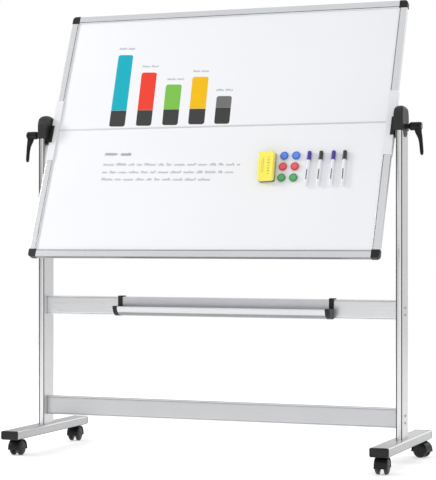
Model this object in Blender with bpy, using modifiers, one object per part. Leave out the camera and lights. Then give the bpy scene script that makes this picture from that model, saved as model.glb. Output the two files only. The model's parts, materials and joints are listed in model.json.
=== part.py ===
"""Rolling whiteboard: a two-panel magnetic board that turns between two
aluminium posts on castered feet, with a hook-on pen tray, an eraser, six
magnets and four markers.  Units are metres, +Z is up, the front is -Y.
The origin is on the floor, midway between the posts, under the pivot axis."""

import math
import bpy
import bmesh
from mathutils import Matrix, Vector

# ------------------------------------------------------------------ dimensions
GAP = 0.0003                # clearance between touching pieces

# board
BOARD_W = 1.200             # over the corner caps
BOARD_H = 0.900
BOARD_OFF = 0.002           # board centre above the pivot axis, along the board
BOARD_TILT = 22.6           # degrees, top leaning back
RAIL_FACE = 0.0262           # visible width of the frame rails
RAIL_T = 0.018              # frame thickness
RAIL_WALL = 0.0016
PANEL_T = 0.0095
GROOVE_D = 0.010            # depth of the rail groove that holds the panel
SEAM = 0.015                # joint of the two half boards, above the axis
CAP = 0.0275                # corner cap, along each edge
CAP_PROUD = 0.0008          # caps stand this proud of the rails
SLEEVE_L = 0.224            # joint sleeve on each side rail
SLEEVE_T = 0.0020
SLEEVE_MID = 0.0115          # its middle, above the axis
BRACKET_L = 0.062           # pivot bracket that grips the sleeve
BRACKET_LIP = 0.0115
BRACKET_MID = -0.002         # its middle, from the pivot axis

# stand
PIVOT_Z = 1.063
POST_X = 0.634              # outer face of each post
POST_W = 0.022
POST_D = 0.070
POST_WALL = 0.0016
POST_UP = 0.034             # post top above the axis, inside the head
HEAD_TOP = 0.066            # top of the post head above the axis
HEAD_WALL = 0.0022          # front and back walls
HEAD_INNER = 0.0062         # inner cheek, the board's bearing face
HEAD_OUTER = 0.0016         # outer cheek
FOOT_W = 0.060
FOOT_H = 0.028
FOOT_TOP = 0.0835
FOOT_HALF = 0.2655          # half length over the end caps
FOOT_CAP = 0.006
FOOT_WALL = 0.0018
BAR_H = 0.0615
BAR_D = 0.025
BAR_WALL = 0.0015
UPPER_BAR_Z = 0.487
LOWER_BAR_Z = 0.1478

# casters
STEM_Y = 0.2165
WHEEL_R = 0.025
TRAIL = 0.010               # axle behind the swivel axis
CASTER_TURN = {"front_left": 88.0, "rear_left": 93.0, "front_right": -88.0, "rear_right": -14.0}

# pen tray on the upper crossbar
TRAY_X0, TRAY_X1 = -0.347, 0.404
TRAY_CAP_L = 0.0155
TRAY_T = 0.0015
TRAY_R = 0.030              # radius of the trough's front

# clamp levers
HUB_R = 0.0133
NECK_R = 0.008
HUB_X0, HUB_X1 = 0.6480, 0.6872
LOOSE = {"left": 0.0065, "right": 0.0}      # how far each lever is unscrewed
BOLT_R = 0.005

# pieces kept on the board: centre x, height on the board, in the board's frame
MAGNET_R, MAGNET_T = 0.0135, 0.008
MAGNET_X = (0.249, 0.289)
MAGNET_Z = (-0.098, -0.136, -0.175)
MARKER_X = (0.334, 0.373, 0.414, 0.451)
MARKER_TOP = -0.086
MARKER_LEN = 0.120
MARKER_R = 0.0058
MARKER_CAP_R, MARKER_CAP_L = 0.0070, 0.031
ERASER_X, ERASER_Z = 0.198, -0.139
ERASER_W, ERASER_L = 0.053, 0.100
ERASER_BODY_T, ERASER_FELT_T = 0.018, 0.008
ERASER_TURN = 3.5

# ------------------------------------------------------------------ scene setup
for ob in list(bpy.data.objects):
    bpy.data.objects.remove(ob, do_unlink=True)

PARTS = bpy.data.collections.new("rolling_whiteboard")
CUTTERS = bpy.data.collections.new("cutters")
bpy.context.scene.collection.children.link(PARTS)
bpy.context.scene.collection.children.link(CUTTERS)


def material(name, colour, rough, metal):
    m = bpy.data.materials.new(name)
    m.use_nodes = True
    b = m.node_tree.nodes["Principled BSDF"]
    b.inputs["Base Color"].default_value = (*colour, 1.0)
    b.inputs["Roughness"].default_value = rough
    b.inputs["Metallic"].default_value = metal
    return m


ALU = material("aluminium", (0.78, 0.79, 0.80), 0.35, 1.0)
STEEL = material("steel", (0.60, 0.61, 0.62), 0.35, 1.0)
PANEL = material("panel", (0.90, 0.91, 0.93), 0.18, 0.0)
SILVER = material("silver_plastic", (0.84, 0.85, 0.87), 0.30, 0.0)
BLACK = material("black_plastic", (0.03, 0.03, 0.032), 0.45, 0.0)
TYRE = material("caster_wheel", (0.025, 0.025, 0.027), 0.55, 0.0)
YELLOW = material("eraser_yellow", (0.90, 0.72, 0.03), 0.45, 0.0)
FELT = material("eraser_felt", (0.05, 0.05, 0.05), 0.95, 0.0)
RED = material("magnet_red", (0.75, 0.05, 0.05), 0.35, 0.0)
BLUE = material("magnet_blue", (0.05, 0.25, 0.70), 0.35, 0.0)
GREEN = material("magnet_green", (0.08, 0.45, 0.12), 0.35, 0.0)
PEN = material("marker_body", (0.88, 0.88, 0.90), 0.35, 0.0)


# ------------------------------------------------------------------ helpers
def link(ob, coll=None):
    for c in list(ob.users_collection):
        c.objects.unlink(ob)
    (coll or PARTS).objects.link(ob)
    return ob


def mesh_object(name, mesh, mat=None, coll=None):
    ob = bpy.data.objects.new(name, mesh)
    (coll or PARTS).objects.link(ob)
    if mat is not None:
        mesh.materials.clear()
        mesh.materials.append(mat)
    return ob


def place(ob, loc=(0, 0, 0), rot=(0, 0, 0), parent=None):
    ob.location = loc
    ob.rotation_euler = rot
    if parent is not None:
        ob.parent = parent
    return ob


def empty(name, loc, rot=(0, 0, 0), parent=None):
    e = bpy.data.objects.new(name, None)
    e.empty_display_size = 0.05
    PARTS.objects.link(e)
    return place(e, loc, rot, parent)


AXIS_FRAME = {
    "X": Matrix(((0, 0, 1), (1, 0, 0), (0, 1, 0))).to_4x4(),      # profile (y, z)
    "Y": Matrix(((1, 0, 0), (0, 0, -1), (0, 1, 0))).to_4x4(),     # profile (x, z)
    "Z": Matrix.Identity(4),                                      # profile (x, y)
}


def prism(name, loops, length, axis, mat=None, coll=None, centre=0.0):
    """Extrude closed outlines (the first is the outside, the rest are holes)
    along an axis; the result's middle is at `centre` on that axis."""
    cu = bpy.data.curves.new(name + "_outline", "CURVE")
    cu.dimensions = "2D"
    cu.fill_mode = "BOTH"
    cu.extrude = length / 2
    for pts in loops:
        sp = cu.splines.new("POLY")
        sp.points.add(len(pts) - 1)
        for p, (a, b) in zip(sp.points, pts):
            p.co = (a, b, 0, 1)
        sp.use_cyclic_u = True
    tmp = bpy.data.objects.new(name + "_outline", cu)
    PARTS.objects.link(tmp)
    bpy.context.view_layer.update()
    dg = bpy.context.evaluated_depsgraph_get()
    me = bpy.data.meshes.new_from_object(tmp.evaluated_get(dg))
    bpy.data.objects.remove(tmp)
    bpy.data.curves.remove(cu)
    bm = bmesh.new()
    bm.from_mesh(me)
    bmesh.ops.remove_doubles(bm, verts=bm.verts, dist=0.000005)
    bmesh.ops.recalc_face_normals(bm, faces=bm.faces)
    bm.to_mesh(me)
    bm.free()
    me.name = name
    shift = {"X": (centre, 0, 0), "Y": (0, centre, 0), "Z": (0, 0, centre)}[axis]
    me.transform(Matrix.Translation(shift) @ AXIS_FRAME[axis])
    return mesh_object(name, me, mat, coll)


def rounded_rect(w, h, r, n=3, cx=0.0, cy=0.0):
    """Rectangle outline with corner radius r, counter-clockwise."""
    pts = []
    for sx, sy, a0 in ((1, 1, 0), (-1, 1, 90), (-1, -1, 180), (1, -1, 270)):
        for i in range(n + 1):
            a = math.radians(a0 + 90.0 * i / n)
            pts.append((cx + sx * (w / 2 - r) + r * math.cos(a), cy + sy * (h / 2 - r) + r * math.sin(a)))
    return pts


def arc(cx, cy, rx, ry, a0, a1, n):
    return [(cx + rx * math.cos(math.radians(a0 + (a1 - a0) * i / n)),
             cy + ry * math.sin(math.radians(a0 + (a1 - a0) * i / n))) for i in range(n + 1)]


def box(name, size, centre, mat=None, coll=None):
    bm = bmesh.new()
    bmesh.ops.create_cube(bm, size=1.0)
    me = bpy.data.meshes.new(name)
    bm.to_mesh(me)
    bm.free()
    me.transform(Matrix.Translation(centre) @ Matrix.Diagonal((*size, 1)))
    return mesh_object(name, me, mat, coll)


def cylinder(name, r, length, centre, axis, seg=24, mat=None, coll=None, r2=None):
    bm = bmesh.new()
    bmesh.ops.create_cone(bm, cap_ends=True, segments=seg, radius1=r, radius2=r if r2 is None else r2, depth=length)
    me = bpy.data.meshes.new(name)
    bm.to_mesh(me)
    bm.free()
    turn = {"Z": Matrix.Identity(4), "X": Matrix.Rotation(math.radians(90), 4, "Y"),
            "Y": Matrix.Rotation(math.radians(-90), 4, "X")}[axis]
    me.transform(Matrix.Translation(centre) @ turn)
    return mesh_object(name, me, mat, coll)


def boolean(ob, other, op="DIFFERENCE"):
    link(other, CUTTERS)
    other.hide_render = True
    other.display_type = "WIRE"
    m = ob.modifiers.new(op.lower() + "_" + other.name, "BOOLEAN")
    m.operation = op
    m.solver = "EXACT"
    m.object = other
    return m


def bevel(ob, width, seg=2, angle=35):
    m = ob.modifiers.new("bevel", "BEVEL")
    m.width = width
    m.segments = seg
    m.limit_method = "ANGLE"
    m.angle_limit = math.radians(angle)
    return m


def smooth(ob, angle=35):
    me = ob.data
    me.shade_smooth()
    me.set_sharp_from_angle(angle=math.radians(angle))
    return ob


def turned(name, pts, steps, mat=None, closed=False):
    """Solid of revolution about local Z from a profile (radius, z)."""
    me = bpy.data.meshes.new(name)
    n = len(pts)
    edges = [(i, i + 1) for i in range(n - 1)]
    if closed:
        edges.append((n - 1, 0))
    me.from_pydata([(r, 0, z) for r, z in pts], edges, [])
    ob = mesh_object(name, me, mat)
    s = ob.modifiers.new("screw", "SCREW")
    s.axis = "Z"
    s.angle = math.radians(360)
    s.steps = s.render_steps = steps
    s.screw_offset = 0
    s.use_merge_vertices = True
    s.merge_threshold = 0.00002
    s.use_normal_calculate = False
    s.use_smooth_shade = True
    return ob


def offset_strip(path, t):
    """Closed outline of a strip of thickness t along an open path."""
    left, right = [], []
    n = len(path)
    for i, p in enumerate(path):
        a = Vector(path[max(i - 1, 0)])
        b = Vector(path[min(i + 1, n - 1)])
        p = Vector(p)
        if 0 < i < n - 1:
            d1 = (p - a).normalized()
            d2 = (b - p).normalized()
            n1 = Vector((-d1.y, d1.x))
            n2 = Vector((-d2.y, d2.x))
            m = (n1 + n2).normalized()
            k = 1.0 / max(m.dot(n1), 0.3)
        else:
            d = (b - a).normalized()
            m = Vector((-d.y, d.x))
            k = 1.0
        left.append(tuple(p + m * (t / 2 * k)))
        right.append(tuple(p - m * (t / 2 * k)))
    return left + right[::-1]


# ------------------------------------------------------------------ board
board = empty("board_pivot", (0, 0, PIVOT_Z), (math.radians(-BOARD_TILT), 0, 0))

HW = BOARD_W / 2
TOP = BOARD_OFF + BOARD_H / 2
BOT = BOARD_OFF - BOARD_H / 2
RX = HW - CAP_PROUD                 # outer edge of the side rails
RT = TOP - CAP_PROUD                # outer edge of the top rail
RB = BOT + CAP_PROUD
HT = RAIL_T / 2


def rail_section(flip=1):
    """C section across a rail: a runs from the outer edge inwards, b through
    the thickness.  The hollow box carries two lips that grip the panel."""
    g = PANEL_T / 2 + GAP
    a1 = RAIL_FACE
    a2 = RAIL_FACE - GROOVE_D
    c = 0.0014
    outer = [(0, -HT + c), (c * 0.35, -HT + c * 0.35), (c, -HT), (a1 - 0.0012, -HT), (a1, -HT + 0.0010), (a1, -g),
             (a2, -g), (a2, g), (a1, g), (a1, HT - 0.0010), (a1 - 0.0012, HT), (c, HT), (c * 0.35, HT - c * 0.35),
             (0, HT - c)]
    w = RAIL_WALL
    inner = [(w, -HT + w), (a2 - w, -HT + w), (a2 - w, HT - w), (w, HT - w)]
    return [[(flip * a, b) for a, b in outer], [(flip * a, b) for a, b in inner]]


def rail_h(name, z_edge, sign):
    """Horizontal rail; sign -1 means its face grows down from z_edge."""
    loops = [[(b, z_edge + sign * a) for a, b in lp] for lp in rail_section()]
    ob = prism(name, loops, 2 * (HW - CAP) - 2 * GAP, "X", ALU)
    return place(ob, parent=board)


def rail_v(name, x_edge, sign, z0, z1):
    loops = [[(x_edge + sign * a, b) for a, b in lp] for lp in rail_section()]
    ob = prism(name, loops, z1 - z0, "Z", ALU, centre=(z0 + z1) / 2)
    return place(ob, parent=board)


rail_h("top_rail", RT, -1)
rail_h("bottom_rail", RB, 1)
for side, sx in (("left", -1), ("right", 1)):
    rail_v(side + "_rail_upper", sx * RX, -sx, SEAM + GAP / 2, TOP - CAP - GAP)
    rail_v(side + "_rail_lower", sx * RX, -sx, BOT + CAP + GAP, SEAM - GAP / 2)

PX = RX - (RAIL_FACE - GROOVE_D) - GAP          # panel half width
PZT = RT - (RAIL_FACE - GROOVE_D) - GAP
PZB = RB + (RAIL_FACE - GROOVE_D) + GAP
STRIP_WEB = 0.0015
for name, z0, z1 in (("upper_panel", SEAM + STRIP_WEB / 2 + GAP, PZT), ("lower_panel", PZB, SEAM - STRIP_WEB / 2 - GAP)):
    p = box(name, (2 * PX, PANEL_T, z1 - z0), (0, 0, (z0 + z1) / 2), PANEL)
    place(p, parent=board)

# joining strip between the half boards: an I section whose flanges lap the panels
fl, ft = 0.0020, 0.0008
py = PANEL_T / 2 + GAP
web = STRIP_WEB / 2
i_section = [(-py - ft, -fl), (-py, -fl), (-py, -web), (py, -web), (py, -fl), (py + ft, -fl),
             (py + ft, fl), (py, fl), (py, web), (-py, web), (-py, fl), (-py - ft, fl)]
strip = prism("panel_joint_strip", [[(a, SEAM + b) for a, b in i_section]], 2 * (RX - RAIL_FACE - GAP), "X", ALU)
place(strip, parent=board)

# corner caps: a rounded block with two tenons that plug the rails, and a
# slot for the panel's corner
for vn, sz, z_edge in (("top", 1, TOP), ("bottom", -1, BOT)):
    for side, sx in (("left", -1), ("right", 1)):
        name = f"corner_cap_{vn}_{side}"
        r = 0.0110
        outline = [(0.0, 0.0), (CAP, 0.0)]
        outline += arc(CAP - r, CAP - r, r, r, 0, 90, 5)
        outline += [(0.0, CAP)]
        x0, z0 = HW - CAP, 0.0
        pts = [(sx * (HW - CAP + a), z_edge + sz * (b - CAP)) for a, b in outline]
        if sx * sz < 0:
            pts = pts[::-1]
        cap = prism(name, [pts], RAIL_T + 0.0012, "Y", BLACK)
        bevel(cap, 0.0010, 1, 50)
        ta, tb_ = RAIL_WALL + 0.0006, RAIL_FACE - GROOVE_D - RAIL_WALL - 0.0006
        tl = 0.014
        tm = (ta + tb_) / 2
        t1 = box(name + "_tenon_x", (tl + 0.003, RAIL_T - 2 * RAIL_WALL - 0.0012, tb_ - ta),
                 (sx * (HW - CAP - tl / 2 + 0.0015), 0, z_edge - sz * (CAP_PROUD + tm)))
        t2 = box(name + "_tenon_z", (tb_ - ta, RAIL_T - 2 * RAIL_WALL - 0.0012, tl + 0.003),
                 (sx * (HW - CAP_PROUD - tm), 0, z_edge - sz * (CAP + tl / 2 - 0.0015)))
        slot = box(name + "_slot", (0.030, PANEL_T + 2 * GAP, 0.030),
                   (sx * (PX + GAP - 0.015), 0, (PZT + GAP - 0.015) if sz > 0 else (PZB - GAP + 0.015)))
        place(cap, parent=board)
        for t in (t1, t2, slot):
            place(t, parent=board)
        boolean(cap, slot)
        boolean(cap, t1, "UNION")
        boolean(cap, t2, "UNION")

# joint sleeves: a channel over each side rail, spanning the joint
SI = RX + GAP                        # inside of the sleeve's web
SO = SI + SLEEVE_T
SFI, SFO = HT + GAP, HT + GAP + 0.0017
for side, sx in (("left", -1), ("right", 1)):
    xin = RX - RAIL_FACE + 0.001
    c = 0.0012
    prof = [(xin, -SFO), (SO - c, -SFO), (SO, -SFO + c), (SO, SFO - c), (SO - c, SFO), (xin, SFO), (xin, SFI), (SI, SFI),
            (SI, -SFI), (xin, -SFI)]
    pts = [(sx * a, b) for a, b in prof]
    if sx < 0:
        pts = pts[::-1]
    sl = prism(side + "_joint_sleeve", [pts], SLEEVE_L, "Z", SILVER, centre=SLEEVE_MID)
    place(sl, parent=board)
    # slanted ends, as a moulded cover has
    for k, sz in (("hi", 1), ("lo", -1)):
        cut = box(f"{side}_sleeve_chamfer_{k}", (0.012, 0.05, 0.012), (0, 0, 0))
        place(cut, (sx * (SO + 0.0035), 0, SLEEVE_MID + sz * (SLEEVE_L / 2 + 0.0035)), (0, math.radians(45), 0), board)
        boolean(sl, cut)

# pivot brackets: C-shaped clips round the sleeve that carry the pivot bolts
BI = SO + GAP
BO = POST_X - POST_W - HEAD_INNER - 2 * GAP      # bearing face, just inside the post head
BLI, BLO = SFO + GAP, SFO + GAP + 0.0032
for side, sx in (("left", -1), ("right", 1)):
    xin = BI - BRACKET_LIP
    c = 0.0015
    prof = [(xin, -BLO + c), (xin + c, -BLO), (BO - c, -BLO), (BO, -BLO + c), (BO, BLO - c), (BO - c, BLO), (xin + c, BLO),
            (xin, BLO - c), (xin, BLI), (BI, BLI), (BI, -BLI), (xin, -BLI)]
    pts = [(sx * a, b) for a, b in prof]
    if sx < 0:
        pts = pts[::-1]
    br = prism(side + "_pivot_bracket", [pts], BRACKET_L, "Z", BLACK, centre=BRACKET_MID)
    place(br, parent=board)
    pocket = cylinder(side + "_bolt_pocket", 0.0093, 0.0032, (sx * (BI + 0.0006), 0, 0), "X", 24)
    hole = cylinder(side + "_bracket_bore", BOLT_R + GAP, 0.03, (sx * (BO - 0.002), 0, 0), "X", 24)
    for t in (pocket, hole):
        place(t, parent=board)
    boolean(br, pocket)
    boolean(br, hole)

# pivot bolts: a flat head in the bracket and a shank out through the post
for side, sx in (("left", -1), ("right", 1)):
    h0 = BI + 0.0001
    pts = [(0.0, 0.0), (0.0090, 0.0), (0.0090, 0.0014), (BOLT_R, 0.0018), (BOLT_R, 0.672 - h0 - 0.0012),
           (BOLT_R - 0.001, 0.672 - h0), (0.0, 0.672 - h0)]
    bolt = turned(side + "_pivot_bolt", pts[::-1], 24, STEEL)
    place(bolt, (sx * h0, 0, 0), (0, math.radians(90 * sx), 0), board)

# ------------------------------------------------------------------ things kept on the board
FACE = -PANEL_T / 2 - GAP            # just clear of the writing face
colours = (BLUE, RED, GREEN)
for i, z in enumerate(MAGNET_Z):
    for j, x in enumerate(MAGNET_X):
        r, t = MAGNET_R, MAGNET_T
        pts = [(0.0, t - 0.0006), (r * 0.62, t - 0.0006), (r * 0.70, t), (r * 0.86, t), (r, t - 0.0016), (r, 0.0008), (r - 0.0008, 0.0), (0.0, 0.0)]
        mg = turned(f"magnet_{('blue', 'red', 'green')[i]}_{j + 1}", pts, 24, colours[i])
        place(mg, (x, FACE, z), (math.radians(90), 0, 0), board)

for i, x in enumerate(MARKER_X):
    R, C = MARKER_R, MARKER_CAP_R
    zt = 0.0
    pts = [(0.0, zt), (C - 0.0008, zt), (C, zt - 0.0008), (C, zt - MARKER_CAP_L), (R, zt - MARKER_CAP_L - 0.0004),
           (R, zt - MARKER_LEN + 0.006), (R - 0.0012, zt - MARKER_LEN + 0.0054), (R - 0.0012, zt - MARKER_LEN + 0.0006), (R - 0.0018, zt - MARKER_LEN), (0.0, zt - MARKER_LEN)]
    mk = turned(f"marker_{i + 1}", pts, 20, PEN)
    place(mk, (x, FACE - C, MARKER_TOP), (0, math.radians(-0.6 * i), 0), board)

er_pos = empty("eraser_place", (ERASER_X, FACE, ERASER_Z), (0, math.radians(-ERASER_TURN), 0), board)
felt = box("eraser_felt", (ERASER_W - 0.002, ERASER_FELT_T - GAP, ERASER_L - 0.002), (0, -(ERASER_FELT_T - GAP) / 2, 0), FELT)
bevel(felt, 0.0015, 2)
place(felt, parent=er_pos)
eb = prism("eraser_body", [rounded_rect(ERASER_W, ERASER_L, 0.008, 4)], ERASER_BODY_T, "Y", YELLOW,
           centre=-(ERASER_FELT_T + ERASER_BODY_T / 2))
bevel(eb, 0.0022, 2)
place(eb, parent=er_pos)

# ------------------------------------------------------------------ stand
POST_MID = POST_X - POST_W / 2
for side, sx in (("left", -1), ("right", 1)):
    z0, z1 = FOOT_TOP + GAP, PIVOT_Z + POST_UP
    outer = rounded_rect(POST_W, POST_D, 0.0035, 3)
    inner = rounded_rect(POST_W - 2 * POST_WALL, POST_D - 2 * POST_WALL, 0.0020, 2)
    post = prism(side + "_post", [outer, inner], z1 - z0, "Z", ALU, centre=(z0 + z1) / 2)
    place(post, (sx * POST_MID, 0, 0))
    bore = cylinder(side + "_post_bore", BOLT_R + GAP, 0.05, (0, 0, PIVOT_Z), "X", 24)
    place(bore, (sx * POST_MID, 0, 0))
    boolean(post, bore)

    # head: a saddle over the post, round-topped, with rounded cheeks that
    # hang lower than its front and back walls
    half = POST_D / 2 + GAP + HEAD_WALL
    rc = HEAD_TOP - half
    prof = arc(0, rc, half, half, 0, 180, 16)
    prof += [(-half, -0.0128), (-0.0205, -0.0132)]
    prof += arc(0, -0.0145, 0.0200, 0.0190, 180, 360, 10)
    prof += [(0.0205, -0.0132), (half, -0.0128)]
    x_in, x_out = -POST_W / 2 - GAP - HEAD_INNER, POST_W / 2 + GAP + HEAD_OUTER
    head = prism(side + "_post_head", [prof], x_out - x_in, "X", BLACK, centre=sx * (x_in + x_out) / 2)
    # seen from the front the top is a half round too
    rr = (x_out - x_in) / 2
    xm = sx * (x_in + x_out) / 2
    dome = arc(xm, HEAD_TOP - rr, rr + 0.0001, rr, 0, 180, 12) + [(xm - rr - 0.0001, -0.05), (xm + rr + 0.0001, -0.05)]
    dm = prism(side + "_head_dome", [dome], 0.10, "Y")
    place(dm, (sx * POST_MID, 0, PIVOT_Z))
    boolean(head, dm, "INTERSECT")
    place(head, (sx * POST_MID, 0, PIVOT_Z))
    bevel(head, 0.0022, 2, 40)
    cav = box(side + "_head_cavity", (POST_W + 2 * GAP, POST_D + 2 * GAP, 0.10), (0, 0, POST_UP + GAP - 0.05))
    place(cav, (sx * POST_MID, 0, PIVOT_Z))
    hb = cylinder(side + "_head_bore", BOLT_R + GAP, 0.05, (0, 0, 0), "X", 24)
    place(hb, (sx * POST_MID, 0, PIVOT_Z))
    win = cylinder(side + "_head_window", 0.0162, 0.010, (sx * (POST_W / 2 + 0.005), 0, 0.0015), "X", 24)
    place(win, (sx * POST_MID, 0, PIVOT_Z))
    boolean(head, cav)
    boolean(head, hb)
    boolean(head, win)

    # foot: tube lying front to back, with a hole under each caster stem
    yl = FOOT_HALF - FOOT_CAP - GAP
    fo = rounded_rect(FOOT_W, FOOT_H, 0.0045, 3)
    fi = rounded_rect(FOOT_W - 2 * FOOT_WALL, FOOT_H - 2 * FOOT_WALL, 0.0028, 2)
    foot = prism(side + "_foot", [fo, fi], 2 * yl, "Y", ALU)
    place(foot, (sx * POST_MID, 0, FOOT_TOP - FOOT_H / 2))
    for k, sy in (("front", -1), ("rear", 1)):
        st = cylinder(f"{side}_{k}_stem_hole", 0.0053, 0.02, (0, 0, 0), "Z", 20)
        place(st, (sx * POST_MID, sy * STEM_Y, FOOT_TOP - FOOT_H))
        boolean(foot, st)
        plate = prism(f"{side}_foot_cap_{k}", [rounded_rect(FOOT_W + 0.0006, FOOT_H + 0.0006, 0.0050, 4)], FOOT_CAP, "Y", BLACK,
                      centre=sy * (FOOT_HALF - FOOT_CAP / 2))
        bevel(plate, 0.0018, 2, 50)
        place(plate, (sx * POST_MID, 0, FOOT_TOP - FOOT_H / 2))
        plug = prism(f"{side}_foot_plug_{k}", [rounded_rect(FOOT_W - 2 * FOOT_WALL - 0.0008, FOOT_H - 2 * FOOT_WALL - 0.0008, 0.0024, 2)],
                     0.016, "Y", centre=sy * (FOOT_HALF - FOOT_CAP - 0.006))
        place(plug, (sx * POST_MID, 0, FOOT_TOP - FOOT_H / 2))
        boolean(plate, plug, "UNION")

# crossbars: rectangular tubes butted against the posts' inner faces
bar_len = 2 * (POST_X - POST_W - GAP)
for name, z in (("upper_crossbar", UPPER_BAR_Z), ("lower_crossbar", LOWER_BAR_Z)):
    outer = rounded_rect(BAR_D, BAR_H, 0.0028, 2)
    inner = rounded_rect(BAR_D - 2 * BAR_WALL, BAR_H - 2 * BAR_WALL, 0.0014, 1)
    bar = prism(name, [outer, inner], bar_len, "X", ALU)
    place(bar, (0, 0, z))

# ------------------------------------------------------------------ pen tray
BAR_TOP = UPPER_BAR_Z + BAR_H / 2
yb = -BAR_D / 2 - GAP - TRAY_T / 2
floor_z = 0.4570
path = [(yb, BAR_TOP - 0.0015), (yb, floor_z + 0.0060), (yb - 0.0018, floor_z + 0.0018), (yb - 0.0060, floor_z)]
path += arc(-0.0300, floor_z + TRAY_R, TRAY_R, TRAY_R, 270, 180, 9)
tray_c = (TRAY_X0 + TRAY_X1) / 2
tray_pos = empty("tray_place", (tray_c, 0, 0))
tray_len = (TRAY_X1 - TRAY_X0) - 2 * TRAY_CAP_L - 2 * GAP
tray = prism("pen_tray", [offset_strip(path, TRAY_T)], tray_len, "X", ALU)
place(tray, parent=tray_pos)

y_in = -BAR_D / 2 - GAP
hook = [(y_in, floor_z - 0.0018), (y_in, BAR_TOP + GAP), (BAR_D / 2 + GAP, BAR_TOP + GAP), (BAR_D / 2 + GAP, BAR_TOP - 0.007),
        (BAR_D / 2 + GAP + 0.0028, BAR_TOP - 0.007), (BAR_D / 2 + GAP + 0.0028, BAR_TOP + 0.0022), (BAR_D / 2, BAR_TOP + 0.0036),
        (y_in - 0.0025, BAR_TOP + 0.0036), (y_in - 0.0040, BAR_TOP + 0.0022), (y_in - 0.0040, floor_z + TRAY_R + 0.0015),
        (-0.0300 - TRAY_R - 0.0016, floor_z + TRAY_R + 0.0015)]
hook += arc(-0.0300, floor_z + TRAY_R, TRAY_R + 0.0016, TRAY_R + 0.0018, 180, 270, 8)
for side, x in (("left", TRAY_X0 + TRAY_CAP_L / 2), ("right", TRAY_X1 - TRAY_CAP_L / 2)):
    hk = prism("tray_hook_" + side, [hook[::-1]], TRAY_CAP_L, "X", BLACK, centre=x - tray_c)
    bevel(hk, 0.0009, 1, 40)
    place(hk, parent=tray_pos)

# ------------------------------------------------------------------ clamp levers
for side, sx in (("left", -1), ("right", 1)):
    x0 = POST_X + GAP
    out = LOOSE[side]
    hx0, hx1 = HUB_X0 + out, HUB_X1 + out
    prof = [(0.0, hx1), (HUB_R - 0.0030, hx1), (HUB_R - 0.0008, hx1 - 0.0014), (HUB_R, hx1 - 0.0040), (HUB_R, hx0 + 0.006),
            (HUB_R - 0.0018, hx0 + 0.0015), (NECK_R + 0.001, hx0), (NECK_R, hx0 - 0.001), (NECK_R, x0 + 0.0035), (0.0115, x0 + 0.0030), (0.0115, x0),
            (0.0, x0)]
    lever = turned(side + "_clamp_lever", prof, 24, BLACK)
    # arm: swept along a bent path in the X-Z plane, thick where it leaves the hub
    cu = bpy.data.curves.new(side + "_arm_path", "CURVE")
    cu.dimensions = "3D"
    cu.bevel_depth = 1.0
    cu.bevel_resolution = 2
    cu.use_fill_caps = True
    cu.twist_mode = "Z_UP"
    way = [((0.6750, -0.004), 0.0116), ((0.6757, -0.014), 0.0111), ((0.6772, -0.020), 0.0102), ((0.6795, -0.027), 0.0088),
           ((0.6820, -0.036), 0.0074), ((0.6840, -0.048), 0.0064), ((0.6856, -0.062), 0.0059), ((0.6868, -0.077), 0.0058),
           ((0.6873, -0.0850), 0.0058), ((0.6874, -0.0892), 0.0046), ((0.6875, -0.0910), 0.0022)]
    sp = cu.splines.new("POLY")
    sp.points.add(len(way) - 1)
    for p, ((ax, az), rr) in zip(sp.points, way):
        p.co = (ax + out, 0, az, 1)
        p.radius = rr
    tmp = bpy.data.objects.new(side + "_arm_path", cu)
    PARTS.objects.link(tmp)
    bpy.context.view_layer.update()
    me = bpy.data.meshes.new_from_object(tmp.evaluated_get(bpy.context.evaluated_depsgraph_get()))
    bpy.data.objects.remove(tmp)
    bpy.data.curves.remove(cu)
    bm = bmesh.new()
    bm.from_mesh(me)
    bmesh.ops.remove_doubles(bm, verts=bm.verts, dist=0.00001)
    bmesh.ops.recalc_face_normals(bm, faces=bm.faces)
    bm.to_mesh(me)
    bm.free()
    # the lever's own frame has its turning axis along local Z
    me.transform(Matrix(((0, 0, -1, 0), (0, 1, 0, 0), (1, 0, 0, 0), (0, 0, 0, 1))))
    arm = mesh_object(side + "_lever_arm", me, None, CUTTERS)
    # blind bore for the pivot bolt
    keep = cylinder(side + "_lever_bore", BOLT_R + GAP, 0.676 - x0 + 0.01, (0, 0, (0.676 + x0 - 0.01) / 2), "Z", 24)
    turn = (0, math.radians(90), 0) if sx > 0 else (0, math.radians(90), math.radians(180))
    for t in (lever, arm, keep):
        place(t, (0, 0, PIVOT_Z), turn)
    boolean(lever, arm, "UNION")
    boolean(lever, keep)

# ------------------------------------------------------------------ casters
HOOD_R = 0.0280             # outside of the hood over the treads
HOOD_HALF = 0.0205          # half width of the hood; the wheel faces stand proud of it
POCKET_R = 0.0262
HUB_GAP = 0.0031            # half thickness of the hood's web at the axle


def hood_outline():
    """Side view of the hood, in (x, z): half an ellipse with a proud rim."""
    cx, cz = TRAIL, WHEEL_R
    pts = [(cx + 0.0290, 0.0192), (cx + 0.0290, 0.0222), (cx + HOOD_R, 0.0232)]
    pts += arc(cx, cz, HOOD_R, HOOD_R, 3, 177, 16)
    pts += [(cx - HOOD_R, 0.0232), (cx - 0.0290, 0.0222), (cx - 0.0290, 0.0192)]
    return pts


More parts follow.
